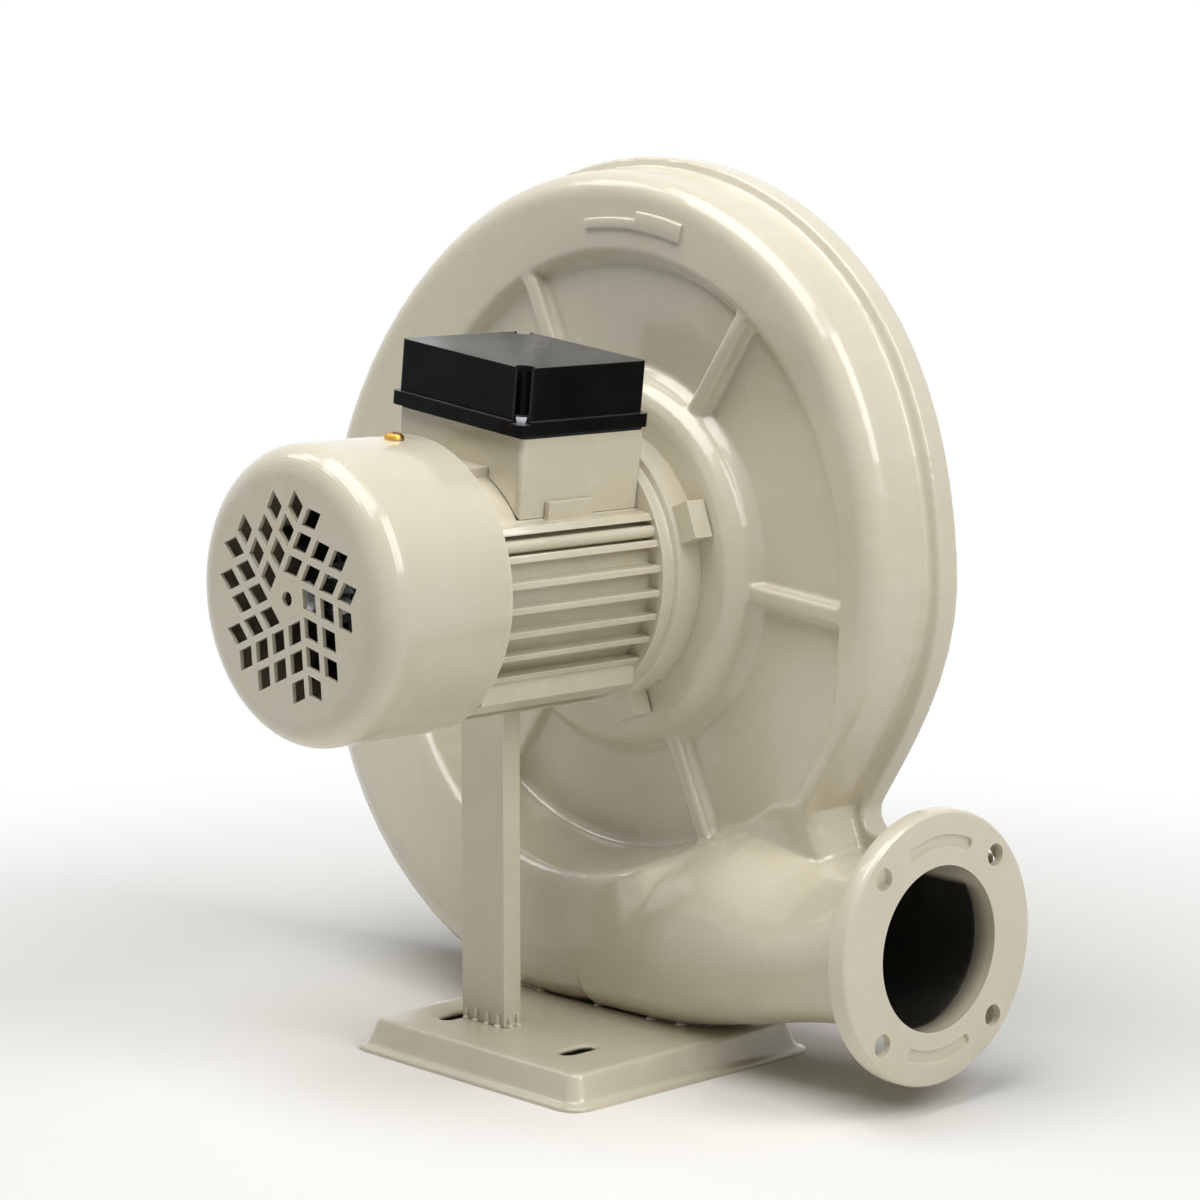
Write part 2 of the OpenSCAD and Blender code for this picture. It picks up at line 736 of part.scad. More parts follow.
module motor_screws() color(STEEL) on_motor() motor_screw_places() {
    rod(screw_r, boss_y - screw_grip, boss_y + wall);
    rod(screw_head_r, boss_y + wall, boss_y + wall + screw_head_h);
}

// Drive end shield: flanged casting with four ears for the tie rods
module drive_end_shield() color(CREAM) on_motor() difference() {
    seat_y = boss_y - seat_gap;
    spigot_r = register_r - seat_gap;
    union() {
        revolve([[journal_r, frame_y1], [shield_r, frame_y1], [shield_r, frame_y1 + 3.5],
                 [groove_r, frame_y1 + 4], [groove_r, frame_y1 + 8], [shield_flange_r, frame_y1 + 8.5],
                 [shield_flange_r, seat_y], [spigot_r, seat_y],
                 [spigot_r, boss_y + wall], [journal_r, boss_y + wall]]);
        at_rods() along_y(ear_y0, ear_y1) translate([0, -ear_w / 2]) square([ear_out, ear_w]);
    }
    tube(0, bearing_r + seat_gap, frame_y1 - cut, drive_bearing_y1);
    tube(0, seal_r + seat_gap, drive_bearing_y1 - cut, boss_y + wall + cut);
    tube(bearing_r + 6, frame_bore_r - 4, frame_y1 - cut, drive_bearing_y1);
    at_rods() rod(rod_r + seat_gap, frame_y1 - cut, boss_y - 3);
    motor_screw_places() rod(screw_r + seat_gap, boss_y - screw_grip, boss_y + cut);
}

// Motor frame: barrel with level cooling fins, a top pad for the box and a foot pad
module frame_outline() {
    circle(frame_r);
    intersection() {
        circle(fin_r);
        for (i = [-fin_rows:fin_rows]) translate([0, i * fin_pitch])
            square([2 * fin_r, fin_t], center = true);
    }
    polygon([[-skirt_x, -skirt_top], [skirt_x, -skirt_top], [skirt_x, -skirt_low], [pad_w / 2, -pad_drop],
             [-pad_w / 2, -pad_drop], [-skirt_x, -skirt_low]]);
    translate([-pad_half, 0]) square([2 * pad_half, pad_top]);
}

// Room that the box takes up beside the top pad
module box_room() for (x = [-pad_half - part_gap - box_w / 2, pad_half + part_gap])
    translate([x, box_y - box_d / 2 - part_gap, box_low - part_gap]) cube([box_w / 2, box_d, frame_l]);

module motor_frame() color(CREAM) on_motor() difference() {
    union() {
        difference() {
            along_y(frame_y0, frame_y1) frame_outline();
            box_room();
        }
        translate([box_w / 2 + part_gap, box_y - tab_in, box_low - tab_drop]) cube(tab);
    }
    rod(frame_bore_r, frame_y0 - cut, frame_y1 + cut);
    at_rods() rod(fin_clear, frame_y0 - cut, frame_y1 + cut);
    at_rods() translate([0, frame_y0 - cut, -fin_clear]) cube([fin_r, frame_l + 2 * cut, 2 * fin_clear]);
    lead_hole();
}

// Hole that brings the winding leads up into the terminal box
module lead_hole() translate([0, box_y + box_d / 2 - lead_hole_in, 0])
    cylinder(r = lead_hole_r, h = box_floor + cut);

// Fan end shield: bearing carrier that the cowl slips over, with two lugs for the cowl's screws
module cowl_lugs(outer_r) intersection() {
    tube(fan_r + lug_clear, outer_r, lug_y0, fan_web_y + cut);
    translate([-lug_w / 2, lug_y0, -cowl_r]) cube([lug_w, fan_web_y + cut - lug_y0, 2 * cowl_r]);
}

module fan_end_shield() color(CREAM) on_motor() difference() {
    spigot_r = cowl_r - cowl_t - seat_gap;
    union() {
        revolve([[journal_r + 3, fan_shield_y0], [bearing_r + 8, fan_shield_y0], [bearing_r + 14, fan_web_y],
                 [spigot_r, fan_web_y], [spigot_r, frame_y0], [journal_r + 3, frame_y0]]);
        cowl_lugs(spigot_r);
    }
    tube(0, bearing_r + seat_gap, fan_bearing_y0, frame_y0 + cut);
    at_rods() rod(rod_r + seat_gap, fan_shield_y0 - cut, frame_y0 + cut);
    cowl_screw_places() cylinder(r = screw_r + seat_gap, h = cowl_r + cut);
}

// Tie rods through the shields, with nuts at the fan end
module tie_rods() color(CREAM) on_motor() at_rods() rod(rod_r, fan_web_y - nut_h, boss_y - 3);

module tie_rod_nuts() color(STEEL) on_motor() at_rods() difference() {
    hex_rod(nut_r, fan_web_y - nut_h, fan_web_y);
    rod(rod_r + seat_gap, fan_web_y - nut_h - cut, fan_web_y + cut);
}

// Fan cowl: drawn cup with a star of lozenge vents
module cowl_screw_places() for (turn = [0, 180])
    translate([0, cowl_screw_y, 0]) rotate([turn, 0, 0]) children();

function lozenge(p, u, v, side) = [p + side / 2 * (u + v), p + side / 2 * (u - v),
                                   p - side / 2 * (u + v), p - side / 2 * (u - v)];

module vent_star() {
    cells = [[0, 0], [1, 0], [0, 1], [2, 0], [1, 1], [0, 2], [3, 0], [2, 1]];
    start = [-0.32, 1.29];
    middle_r = 3.5;
    for (k = [0:4], cell = cells) {
        u = [cos(vent_turn + 72 * k), sin(vent_turn + 72 * k)];
        v = [cos(vent_turn + 72 * (k + 1)), sin(vent_turn + 72 * (k + 1))];
        place = cell + start;
        polygon(lozenge(vent_pitch * (place[0] * u + place[1] * v), u, v, vent_side));
    }
    circle(middle_r);
}

module cowl_cup(inset, y1) {
    bend = cowl_r - cowl_round;
    revolve(concat([[0, cowl_y0 + inset]], arc(bend, cowl_y0 + cowl_round, cowl_round - inset, -90, 0, 12),
        [[cowl_r - inset, y1], [0, y1]]));
}

module fan_cowl() color(CREAM) on_motor() difference() {
    cowl_cup(0, cowl_y1);
    cowl_cup(cowl_t, cowl_y1 + cut);
    along_y(cowl_y0 - cut, cowl_y0 + cowl_t + cut) vent_star();
    cowl_screw_places() cylinder(r = screw_r + seat_gap, h = cowl_r + cut);
}

module cowl_screws() color(ZINC) on_motor() cowl_screw_places() {
    seat = cowl_r + 2 * seat_gap;
    translate([0, 0, cowl_r - cowl_screw_l]) cylinder(r = screw_r, h = cowl_screw_l + screw_head_h / 2);
    translate([0, 0, seat]) cylinder(r = screw_head_r, h = screw_head_h);
}

// Terminal box on the frame's top pad
module box_slab(w, d, z0, z1, r) translate([0, box_y, z0]) linear_extrude(z1 - z0) rounded_rect(w, d, r);
module lid_slab(w, d, z0, z1, r) translate([0, lid_shift, 0]) box_slab(w, d, z0, z1, r);

module terminal_box() color(CREAM) on_motor() difference() {
    pad_room = 2 * (pad_half + part_gap);
    box_slab(box_w, box_d, box_low, lid_low, box_corner);
    box_slab(box_w - 2 * box_t, box_d - 2 * box_t, box_floor, lid_low + cut, box_corner - 1);
    rod(frame_r + 2 * seat_gap, frame_y0 - cut, frame_y1 + shield_l);
    rod(shield_flange_r + part_gap, frame_y1 - part_gap, boss_y);
    along_y(frame_y0 - cut, frame_y1 + shield_l) translate([-pad_room / 2, 0]) square([pad_room, pad_top]);
    lead_hole();
    at_rods() rod(rod_r + rod_clear, frame_y0 - cut, boss_y);
    gland_place() translate([0, 0, -gland_in - cut])
        cylinder(r = gland_r + seat_gap, h = gland_in + box_t + 2 * cut);
    lid_screw_places() translate([0, 0, lid_low - lid_screw_l - cut])
        cylinder(r = screw_r + seat_gap, h = lid_screw_l + 2 * cut);
}

module box_gasket() color(BLACK) on_motor() difference() {
    box_slab(box_w - 2 * part_gap, box_d - 2 * part_gap, lid_low, lid_seat, box_corner);
    box_slab(box_w - 4 * box_t, box_d - 4 * box_t, lid_low - cut, lid_seat + cut, box_corner - 1);
    lid_screw_places() translate([0, 0, lid_low - cut])
        cylinder(r = screw_r + seat_gap, h = gasket_t + 2 * cut);
}

// Lid with a lip, and a screw pocket at two opposite corners
module lid_corners(inset) for (s = [1, -1])
    translate([s * (lid_w / 2 - lid_lip - inset), box_y + lid_shift - s * (lid_d / 2 - lid_lip - inset), 0])
        children();
module lid_screw_places() lid_corners(notch / 2) children();

module terminal_lid() color(BLACK) on_motor() difference() {
    crown_w = lid_w - 2 * lid_lip;
    crown_d = lid_d - 2 * lid_lip;
    union() {
        lid_slab(lid_w, lid_d, lid_seat, lid_step, box_corner);
        lid_slab(crown_w, crown_d, lid_seat, lid_top, box_corner - 1);
    }
    difference() {
        lid_slab(crown_w - 2 * box_t, crown_d - 2 * box_t, lid_low, lid_top - box_t, box_corner - 1);
        lid_screw_places() translate([0, 0, lid_low]) cylinder(r = 0.75 * notch, h = lid_h);
    }
    lid_screw_places() {
        translate([0, 0, lid_low]) cylinder(r = screw_r + seat_gap, h = lid_h);
        translate([0, 0, pocket_low]) cylinder(r = notch / 2, h = lid_h);
    }
    lid_corners(0) translate([0, 0, pocket_low + lid_h / 2]) cube([notch, notch, lid_h], center = true);
}

module lid_screws() color(STEEL) on_motor() lid_screw_places() {
    tip = lid_low - lid_screw_l;
    translate([0, 0, tip]) cylinder(r = screw_r, h = pocket_low + 1 - tip);
    translate([0, 0, pocket_low]) cylinder(r = notch / 2 - 0.7, h = screw_head_h);
}

// Terminal board with six studs
module stud_places() for (x = [-1, 0, 1], y = [-0.5, 0.5])
    translate([x * stud_pitch[0], box_y + y * stud_pitch[1], box_floor]) children();

module terminal_board() color(BLACK) on_motor() difference() {
    translate([0, box_y, box_floor]) linear_extrude(board_t) rounded_rect(board_w, board_d, box_corner);
    stud_places() cylinder(r = stud_r + seat_gap, h = board_t + cut);
}

module terminal_studs() color(ZINC) on_motor() stud_places() {
    cylinder(r = stud_r, h = board_t + stud_l);
    translate([0, 0, board_t]) cylinder(r = stud_nut_r, h = stud_nut_h, $fn = 6);
}

// Cable gland on the side away from the outlet
module gland_place() translate([-box_w / 2, box_y, gland_z])
    rotate([0, -90, 0]) translate([0, 0, -box_t]) children();

module gland_body() color(BLACK) on_motor() gland_place() difference() {
    union() {
        translate([0, 0, -gland_in]) cylinder(r = gland_r, h = gland_in + box_t + gland_l);
        translate([0, 0, box_t]) cylinder(r = gland_r + gland_lip, h = gland_collar, $fn = 6);
    }
    translate([0, 0, -gland_in - cut])
        cylinder(r = gland_r - 3, h = gland_in + box_t + gland_l + 2 * cut);
}

module gland_cap() color(BLACK) on_motor() gland_place()
translate([0, 0, box_t + gland_collar]) difference() {
    dome = 3;
    rotate_extrude() polygon(concat([[0, 0], [gland_r + gland_lip, 0]],
        arc(gland_r + gland_lip - dome, gland_l - 1, dome, 0, 80, 4), [[0, gland_l + 2]]));
    translate([0, 0, -cut]) cylinder(r = gland_r + seat_gap, h = gland_l - 2);
    cylinder(r = gland_r - 3.5, h = 2 * gland_l);
}

// Stator core, with its winding heads at both ends
module stator_core() color(IRON) on_motor() difference() {
    slot_d = 8;
    slot_gap = 3;
    tube(stator_r, frame_bore_r - seat_gap, core_y0, core_y1);
    for (i = [0:slot_count - 1]) turned(360 * i / slot_count)
        translate([stator_r - 2, core_y0 - cut, -slot_gap / 2]) cube([slot_d, core_l + 2 * cut, slot_gap]);
}

module stator_windings() color(COPPER) on_motor() for (y = [core_y0 - coil_l / 2, core_y1 + coil_l / 2])
    rotate([-90, 0, 0]) translate([0, 0, y]) rotate_extrude()
        translate([rotor_r + 10, 0]) rounded_rect(coil_w, coil_l, 4, $fn = 32);

// Bearings: grooved rings and a caged set of balls
module race(r0, r1, y0) difference() {
    tube(r0, r1, y0, y0 + bearing_w);
    rotate([-90, 0, 0]) translate([0, 0, y0 + bearing_w / 2]) rotate_extrude()
        translate([pitch_r, 0]) circle(ball_r + race_gap, $fn = 48);
}
module outer_race(y0) race(bearing_r - race_t, bearing_r, y0);
module inner_race(y0) race(journal_r + seat_gap, journal_r + race_t, y0);
module ball_set(y0) translate([0, y0 + bearing_w / 2, 0]) {
    for (i = [0:ball_count - 1]) turned(360 * i / ball_count)
        translate([pitch_r, 0, 0]) sphere(ball_r, $fn = 32);
    tube(pitch_r - cage_t, pitch_r + cage_t, -cage_t, cage_t);
}
module drive_bearing_outer() color(STEEL) on_motor() outer_race(drive_bearing_y0);
module drive_bearing_inner() color(STEEL) on_motor() inner_race(drive_bearing_y0);
module drive_bearing_balls() color(STEEL) on_motor() ball_set(drive_bearing_y0);
module fan_bearing_outer() color(STEEL) on_motor() outer_race(fan_bearing_y0);
module fan_bearing_inner() color(STEEL) on_motor() inner_race(fan_bearing_y0);
module fan_bearing_balls() color(STEEL) on_motor() ball_set(fan_bearing_y0);
module wave_washer() color(STEEL) on_motor()
    tube(bearing_r - race_t + part_gap, bearing_r - part_gap, fan_bearing_y1, fan_bearing_y1 + 1);
module shaft_seal() color(BLACK) on_motor()
    tube(shaft_end_r + seal_gap, seal_r, drive_bearing_y1 + part_gap, boss_y);

// Shaft, stepped down from the rotor to both ends
module shaft() color(STEEL) on_motor() difference() {
    revolve([[0, shaft_y0], [shaft_end_r, shaft_y0], [shaft_end_r, fan_bearing_y0 - 2],
             [journal_r, fan_bearing_y0 - 2], [journal_r, fan_bearing_y1], [rotor_seat_r, fan_bearing_y1],
             [rotor_seat_r, drive_bearing_y0], [journal_r, drive_bearing_y0], [journal_r, drive_bearing_y1],
             [shaft_end_r, drive_bearing_y1], [shaft_end_r, shaft_y1], [0, shaft_y1]]);
    key_block(seat_gap);
    rod(screw_r + seat_gap, shaft_y1 - 14, shaft_y1 + cut);
    tube(shaft_end_r - 1, shaft_end_r + 1, circlip_y - 0.6 * circlip_t, circlip_y + 0.6 * circlip_t);
}

// Key between the shaft and the impeller's hub
module key_block(gap) translate([-key_w / 2 - gap, hub_y0 + key_sink, shaft_end_r - key_sink - gap])
    cube([key_w + 2 * gap, hub_y1 - hub_y0 - 8, key_h + gap]);
module shaft_key() color(STEEL) on_motor() key_block(0);

// Rotor core with cast end rings
module rotor_core() color(IRON) on_motor() tube(rotor_seat_r + seat_gap, rotor_r, core_y0, core_y1);
module rotor_end_rings() color(STEEL) on_motor() for (y = [core_y0 - ring_l, core_y1])
    tube(rotor_r - 12, rotor_r - 1, y, y + ring_l);

// Cooling fan behind the cowl's vents, and its circlip
module cooling_fan() color(BLACK) on_motor() difference() {
    boss = 14;
    sheet = 2;
    union() {
        tube(0, boss, fan_y0, fan_y1);
        tube(0, fan_r, fan_y1 - sheet, fan_y1);
        for (i = [0:fan_blades - 1]) turned(360 * i / fan_blades)
            translate([boss - sheet, fan_y0 + 4, -sheet / 2])
                cube([fan_r - boss + 1, fan_l - 5, sheet]);
    }
    rod(shaft_end_r + seat_gap, fan_y0 - cut, fan_y1 + cut);
}
module fan_circlip() color(STEEL) on_motor() difference() {
    tube(shaft_end_r - 1 + seat_gap, shaft_end_r + 3, circlip_y - circlip_t / 2, circlip_y + circlip_t / 2);
    translate([0, circlip_y - circlip_t, -1.5]) cube([2 * shaft_end_r, 2 * circlip_t, 3]);
}

// Impeller: hub, backplate, curved blades and shroud ring
module impeller_hub() color(STEEL) on_shaft() difference() {
    tube(shaft_end_r + seat_gap, hub_r, hub_y0, hub_y1);
    rolled() key_block(seat_gap);
}
module impeller_backplate() color(STEEL) on_shaft()
    tube(hub_r + seat_gap, impeller_r, blade_y0 - disc_t, blade_y0);

// Blade: a backward curved strip
function blade_mid(t) =
    let (r = blade_in + (blade_out - blade_in) * t, a = -blade_sweep * pow(t, 1.2)) r * [cos(a), sin(a)];
module blade() {
    mids = [for (i = [0:blade_steps]) blade_mid(i / blade_steps)];
    side = [for (i = [0:blade_steps])
        let (d = mids[min(i + 1, blade_steps)] - mids[max(i - 1, 0)])
        [-d[1], d[0]] / norm(d) * blade_t / 2];
    polygon(concat([for (i = [0:blade_steps]) mids[i] + side[i]],
                   [for (i = [blade_steps:-1:0]) mids[i] - side[i]]));
}
module impeller_blades() color(STEEL) on_shaft() for (i = [0:blade_count - 1])
    turned(360 * i / blade_count) along_y(blade_y0, blade_y1) blade();
module impeller_shroud() color(STEEL) on_shaft() tube(eye_r, impeller_r, blade_y1, blade_y1 + disc_t);
module impeller_washer() color(ZINC) on_shaft()
    tube(screw_r + part_gap, hub_r - 4, hub_y1, hub_y1 + disc_t);
module impeller_bolt() color(ZINC) on_shaft() {
    rod(screw_r, shaft_y1 - 12, hub_y1 + disc_t + 1);
    hex_rod(nut_r, hub_y1 + disc_t, hub_y1 + disc_t + 4);
}

foot();
motor_post();
front_casing();
rear_cover();
inlet_guard();
guard_screws();
outlet_flange();
motor_screws();
drive_end_shield();
motor_frame();
fan_end_shield();
tie_rods();
tie_rod_nuts();
fan_cowl();
cowl_screws();
terminal_box();
box_gasket();
terminal_lid();
lid_screws();
terminal_board();
terminal_studs();
gland_body();
gland_cap();
stator_core();
stator_windings();
drive_bearing_outer();
fan_bearing_outer();
wave_washer();
shaft_seal();
shaft();
shaft_key();
rotor_core();
rotor_end_rings();
drive_bearing_inner();
fan_bearing_inner();
cooling_fan();
fan_circlip();
impeller_hub();
impeller_backplate();
impeller_blades();
impeller_shroud();
impeller_washer();
impeller_bolt();
drive_bearing_balls();
fan_bearing_balls();
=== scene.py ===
"""Centrifugal blower: finishes, blended pressings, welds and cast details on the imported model."""
import math

import bmesh
import bpy
from bpy.props import FloatProperty, FloatVectorProperty, IntProperty, PointerProperty
from mathutils import Matrix, Vector


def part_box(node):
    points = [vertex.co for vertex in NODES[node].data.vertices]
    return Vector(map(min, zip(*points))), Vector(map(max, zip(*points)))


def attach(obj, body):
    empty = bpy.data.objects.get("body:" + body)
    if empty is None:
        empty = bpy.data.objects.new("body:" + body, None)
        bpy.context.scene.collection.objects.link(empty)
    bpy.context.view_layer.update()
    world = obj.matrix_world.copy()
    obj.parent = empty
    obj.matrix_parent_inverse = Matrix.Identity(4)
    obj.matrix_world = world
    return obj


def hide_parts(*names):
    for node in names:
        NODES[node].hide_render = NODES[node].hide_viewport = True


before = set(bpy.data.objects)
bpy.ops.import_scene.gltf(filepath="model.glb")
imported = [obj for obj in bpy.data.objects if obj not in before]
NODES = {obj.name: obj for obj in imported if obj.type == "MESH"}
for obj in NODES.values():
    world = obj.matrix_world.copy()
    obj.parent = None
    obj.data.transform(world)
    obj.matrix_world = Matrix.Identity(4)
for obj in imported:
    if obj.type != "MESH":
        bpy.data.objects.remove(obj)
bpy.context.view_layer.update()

bl_info = {
    "name": "Centrifugal blower",
    "version": (1, 0, 0),
    "blender": (4, 5, 0),
    "location": "View3D > Sidebar > Blower",
    "description": "Dresses the packed blower with finishes, blended pressings, welds and cast details",
    "category": "Object",
}

MM = 0.001
BODY = "blower"

# The shaft line, the ring's flat face and the motor's turn, as the solids have them
SHAFT = Vector((-26.5, 0, 231)) * MM
RING_FACE_Y = 46 * MM
MOTOR_ROLL = math.radians(6.6)

# The end of the spout's axis, in the flange's face
SPOUT_AXIS = Vector((187, 44, 75.5)) * MM

# Distance within which the loose triangles of a solid are joined
JOIN = 0.004 * MM


def linear(hex_colour):
    """An sRGB hex value as linear RGBA."""
    parts = [int(hex_colour[i:i + 2], 16) / 255 for i in (1, 3, 5)]
    return [c / 12.92 if c <= 0.04045 else ((c + 0.055) / 1.055) ** 2.4 for c in parts] + [1.0]


def per_mm(size):
    """Texture scale that repeats a pattern every so many millimetres."""
    return 1.0 / (size * MM)


def add_node(tree, kind, inputs=None, **settings):
    """Adds a node; an input is a number, a hex colour or the socket that it is linked from."""
    node = tree.nodes.new(kind)
    for name, value in settings.items():
        setattr(node, name, value)
    for key, value in (inputs or {}).items():
        if isinstance(value, bpy.types.NodeSocket):
            tree.links.new(value, node.inputs[key])
        else:
            node.inputs[key].default_value = linear(value) if isinstance(value, str) else value
    return node


def new_material(name, **sockets):
    """A material with one Principled shader; returns it, its tree, the shader and Object coordinates."""
    material = bpy.data.materials.new(name)
    material.use_nodes = True
    tree = material.node_tree
    tree.nodes.clear()
    inputs = {key.replace("_", " "): value for key, value in sockets.items()}
    shader = add_node(tree, "ShaderNodeBsdfPrincipled", inputs)
    add_node(tree, "ShaderNodeOutputMaterial", {"Surface": shader.outputs[0]})
    place = add_node(tree, "ShaderNodeTexCoord").outputs["Object"]
    return material, tree, shader, place


def patches(tree, place, size, span, reach=(0.0, 1.0), detail=3.0):
    """Cloudy patches about size millimetres wide that run between the two values of reach."""
    cloud = add_node(tree, "ShaderNodeTexNoise", {"Vector": place, "Scale": per_mm(size), "Detail": detail})
    eased = add_node(tree, "ShaderNodeMapRange",
                     {"Value": cloud.outputs["Fac"], "From Min": span[0], "From Max": span[1],
                      "To Min": reach[0], "To Max": reach[1]}, interpolation_type="SMOOTHSTEP")
    return eased.outputs["Result"]


def rubbed_edges(tree, radius, most):
    """Edges that a hand or a spray gun finds first, up to most; 0 on open faces."""
    soft = add_node(tree, "ShaderNodeBevel", {"Radius": radius * MM}, samples=4)
    true = add_node(tree, "ShaderNodeNewGeometry")
    match = add_node(tree, "ShaderNodeVectorMath", {0: soft.outputs[0], 1: true.outputs["Normal"]},
                     operation="DOT_PRODUCT")
    eased = add_node(tree, "ShaderNodeMapRange", {"Value": match.outputs["Value"], "From Min": 0.985,
                                                  "From Max": 0.86, "To Max": most},
                     interpolation_type="SMOOTHSTEP")
    return eased.outputs["Result"]


def layered(tree, base, *layers):
    """A base colour with tints laid over it, each through its own mask."""
    colour = base
    for tint, mask in layers:
        over = add_node(tree, "ShaderNodeMix", {0: mask, 6: colour, 7: tint}, data_type="RGBA")
        colour = over.outputs[2]
    return colour


def surface(tree, shader, colour, rough, height, strength, depth):
    """Links a finish's colour, roughness and relief to its shader; depth is in millimetres."""
    relief = add_node(tree, "ShaderNodeBump",
                      {"Height": height, "Strength": strength, "Distance": depth * MM})
    for socket, source in (("Base Color", colour), ("Roughness", rough), ("Normal", relief.outputs[0])):
        tree.links.new(source, shader.inputs[socket])


def unpainted_and_shaded_spout(tree, place):
    """1 on sheet behind the flange that faces the spout's axis: bare sheet that the spray gun doesn't
    reach, darkened further as painted shade of the tube's inside.
    """
    offset = add_node(tree, "ShaderNodeVectorMath", {0: place, 1: SPOUT_AXIS}, operation="SUBTRACT")
    along = add_node(tree, "ShaderNodeSeparateXYZ", {0: offset.outputs[0]})
    across = add_node(tree, "ShaderNodeVectorMath", {0: offset.outputs[0], 1: (0, 1, 1)},
                      operation="MULTIPLY")
    away = add_node(tree, "ShaderNodeVectorMath", {0: across.outputs[0]}, operation="LENGTH")
    true = add_node(tree, "ShaderNodeNewGeometry")
    facing = add_node(tree, "ShaderNodeVectorMath", {0: across.outputs[0], 1: true.outputs["Normal"]},
                      operation="DOT_PRODUCT")
    mask = 1.0
    # Each test fades in between two distances in millimetres
    for value, none, full in ((along.outputs[0], -3, -14), (along.outputs[0], -104, -98),
                              (along.outputs[2], 26, 22), (away.outputs["Value"], 50, 48),
                              (facing.outputs["Value"], 0, -20)):
        step = add_node(tree, "ShaderNodeMapRange", {"Value": value, "From Min": none * MM,
                                                     "From Max": full * MM, "To Max": mask})
        mask = step.outputs["Result"]
    return mask


def sprayed_enamel(finish):
    """Stove enamel sprayed on castings and sheet: warm cream, semi-gloss, with a faint orange peel."""
    material, tree, shader, place = new_material(
        "sprayed_enamel", IOR=1.5, Coat_Weight=0.8, Coat_Roughness=0.1)
    colour = layered(
        tree, [*finish.enamel, 1.0],
        ("#cbc3ab", patches(tree, place, 70, (0.35, 0.65), (0.2, 0.7), 2.0)),
        ("#d9d3c2", patches(tree, place, 9, (0.52, 0.75), (0.0, 0.35), 4.0)),
        ("#e6e1d3", rubbed_edges(tree, 1.6, 0.4)),
        ("#a79f88", patches(tree, place, 2.2, (0.75, 0.82), (0.0, 0.3), 1.0)),
        # Near black inside the spout: bare sheet, and painted shade of the tube's inside
        ("#2b2926", unpainted_and_shaded_spout(tree, place)))
    rough = patches(tree, place, 22, (0.3, 0.7), (0.3, 0.4))
    # Orange peel is about 1 mm across; drawn at 3 mm so that it shows at the photo's distance
    peel = add_node(tree, "ShaderNodeTexNoise", {"Vector": place, "Scale": per_mm(3), "Detail": 1.0})
    surface(tree, shader, colour, rough, peel.outputs["Fac"], 0.05, 0.3)
    return material


def moulded_lid_nylon():
    """Glass-filled nylon moulding: black, satin, with a fine spark-eroded grain."""
    # Nylon's index is about 1.53; a lower one keeps the upright faces black under the white surround
    material, tree, shader, place = new_material("moulded_lid_nylon", IOR=1.15)
    # Lighter on what faces up: dust, and a painted sheen that stands in for the top's glossy reflection
    true = add_node(tree, "ShaderNodeNewGeometry")
    up = add_node(tree, "ShaderNodeSeparateXYZ", {0: true.outputs["Normal"]})
    dust_and_sheen_film = patches(tree, place, 70, (0.3, 0.7), (0.15, 0.4))
    dust_and_sheen = add_node(tree, "ShaderNodeMapRange", {"Value": up.outputs[2], "From Min": 0.75,
                                                 "From Max": 0.95, "To Max": dust_and_sheen_film})
    colour = layered(tree, "#0a0a0b",
                     ("#0f1011", patches(tree, place, 25, (0.35, 0.7))),
                     # Pale grey on the top: dust, and painted sheen
                     ("#85868b", dust_and_sheen.outputs["Result"]),
                     ("#37383b", rubbed_edges(tree, 1.2, 0.4)))
    rough = patches(tree, place, 12, (0.3, 0.7), (0.12, 0.2), 4.0)
    # Spark grain is about 0.2 mm; drawn at 0.9 mm
    grain = add_node(tree, "ShaderNodeTexNoise", {"Vector": place, "Scale": per_mm(0.9), "Detail": 2.0})
    surface(tree, shader, colour, rough, grain.outputs["Fac"], 0.1, 0.15)
    return material


def plated_metal(name, light, dark, rough, lump):
    """Plated or machined metal: two close tones in cloudy patches, and fine scuffs that break the shine."""
    material, tree, shader, place = new_material(name, Metallic=1.0)
    colour = layered(tree, light,
                     (dark, patches(tree, place, lump, (0.35, 0.65))),
                     ("#e4e2dc", rubbed_edges(tree, 0.5, 0.5)))
    dulled = patches(tree, place, lump / 3, (0.3, 0.7), (rough, rough + 0.14), 4.0)
    scuff = add_node(tree, "ShaderNodeTexNoise", {"Vector": place, "Scale": per_mm(0.8), "Detail": 3.0})
    surface(tree, shader, colour, dulled, scuff.outputs["Fac"], 0.06, 0.1)
    return material


def stacked_iron():
    """Electrical steel laminations: grey-blue sheets on edge, a dark line between each pair."""
    material, tree, shader, place = new_material("stacked_iron", Metallic=0.9)
    # Sheets are 0.5 mm; drawn at 1.5 mm, and a wave node's scale of 1 gives 20 / (2 pi) waves to a metre
    sheets = add_node(tree, "ShaderNodeTexWave", {"Vector": place, "Scale": per_mm(1.5) * 2 * math.pi / 20,
                                                  "Distortion": 0.4}, bands_direction="Y")
    line = add_node(tree, "ShaderNodeMapRange", {"Value": sheets.outputs["Fac"], "From Min": 0.5,
                                                 "From Max": 0.1})
    colour = layered(tree, "#6f747a",
                     ("#6a5a4c", patches(tree, place, 6, (0.55, 0.75), (0.0, 0.5), 4.0)),
                     ("#3c4045", line.outputs["Result"]))
    rough = patches(tree, place, 4, (0.3, 0.7), (0.4, 0.6))
    surface(tree, shader, colour, rough, sheets.outputs["Fac"], 0.3, 0.2)
    return material


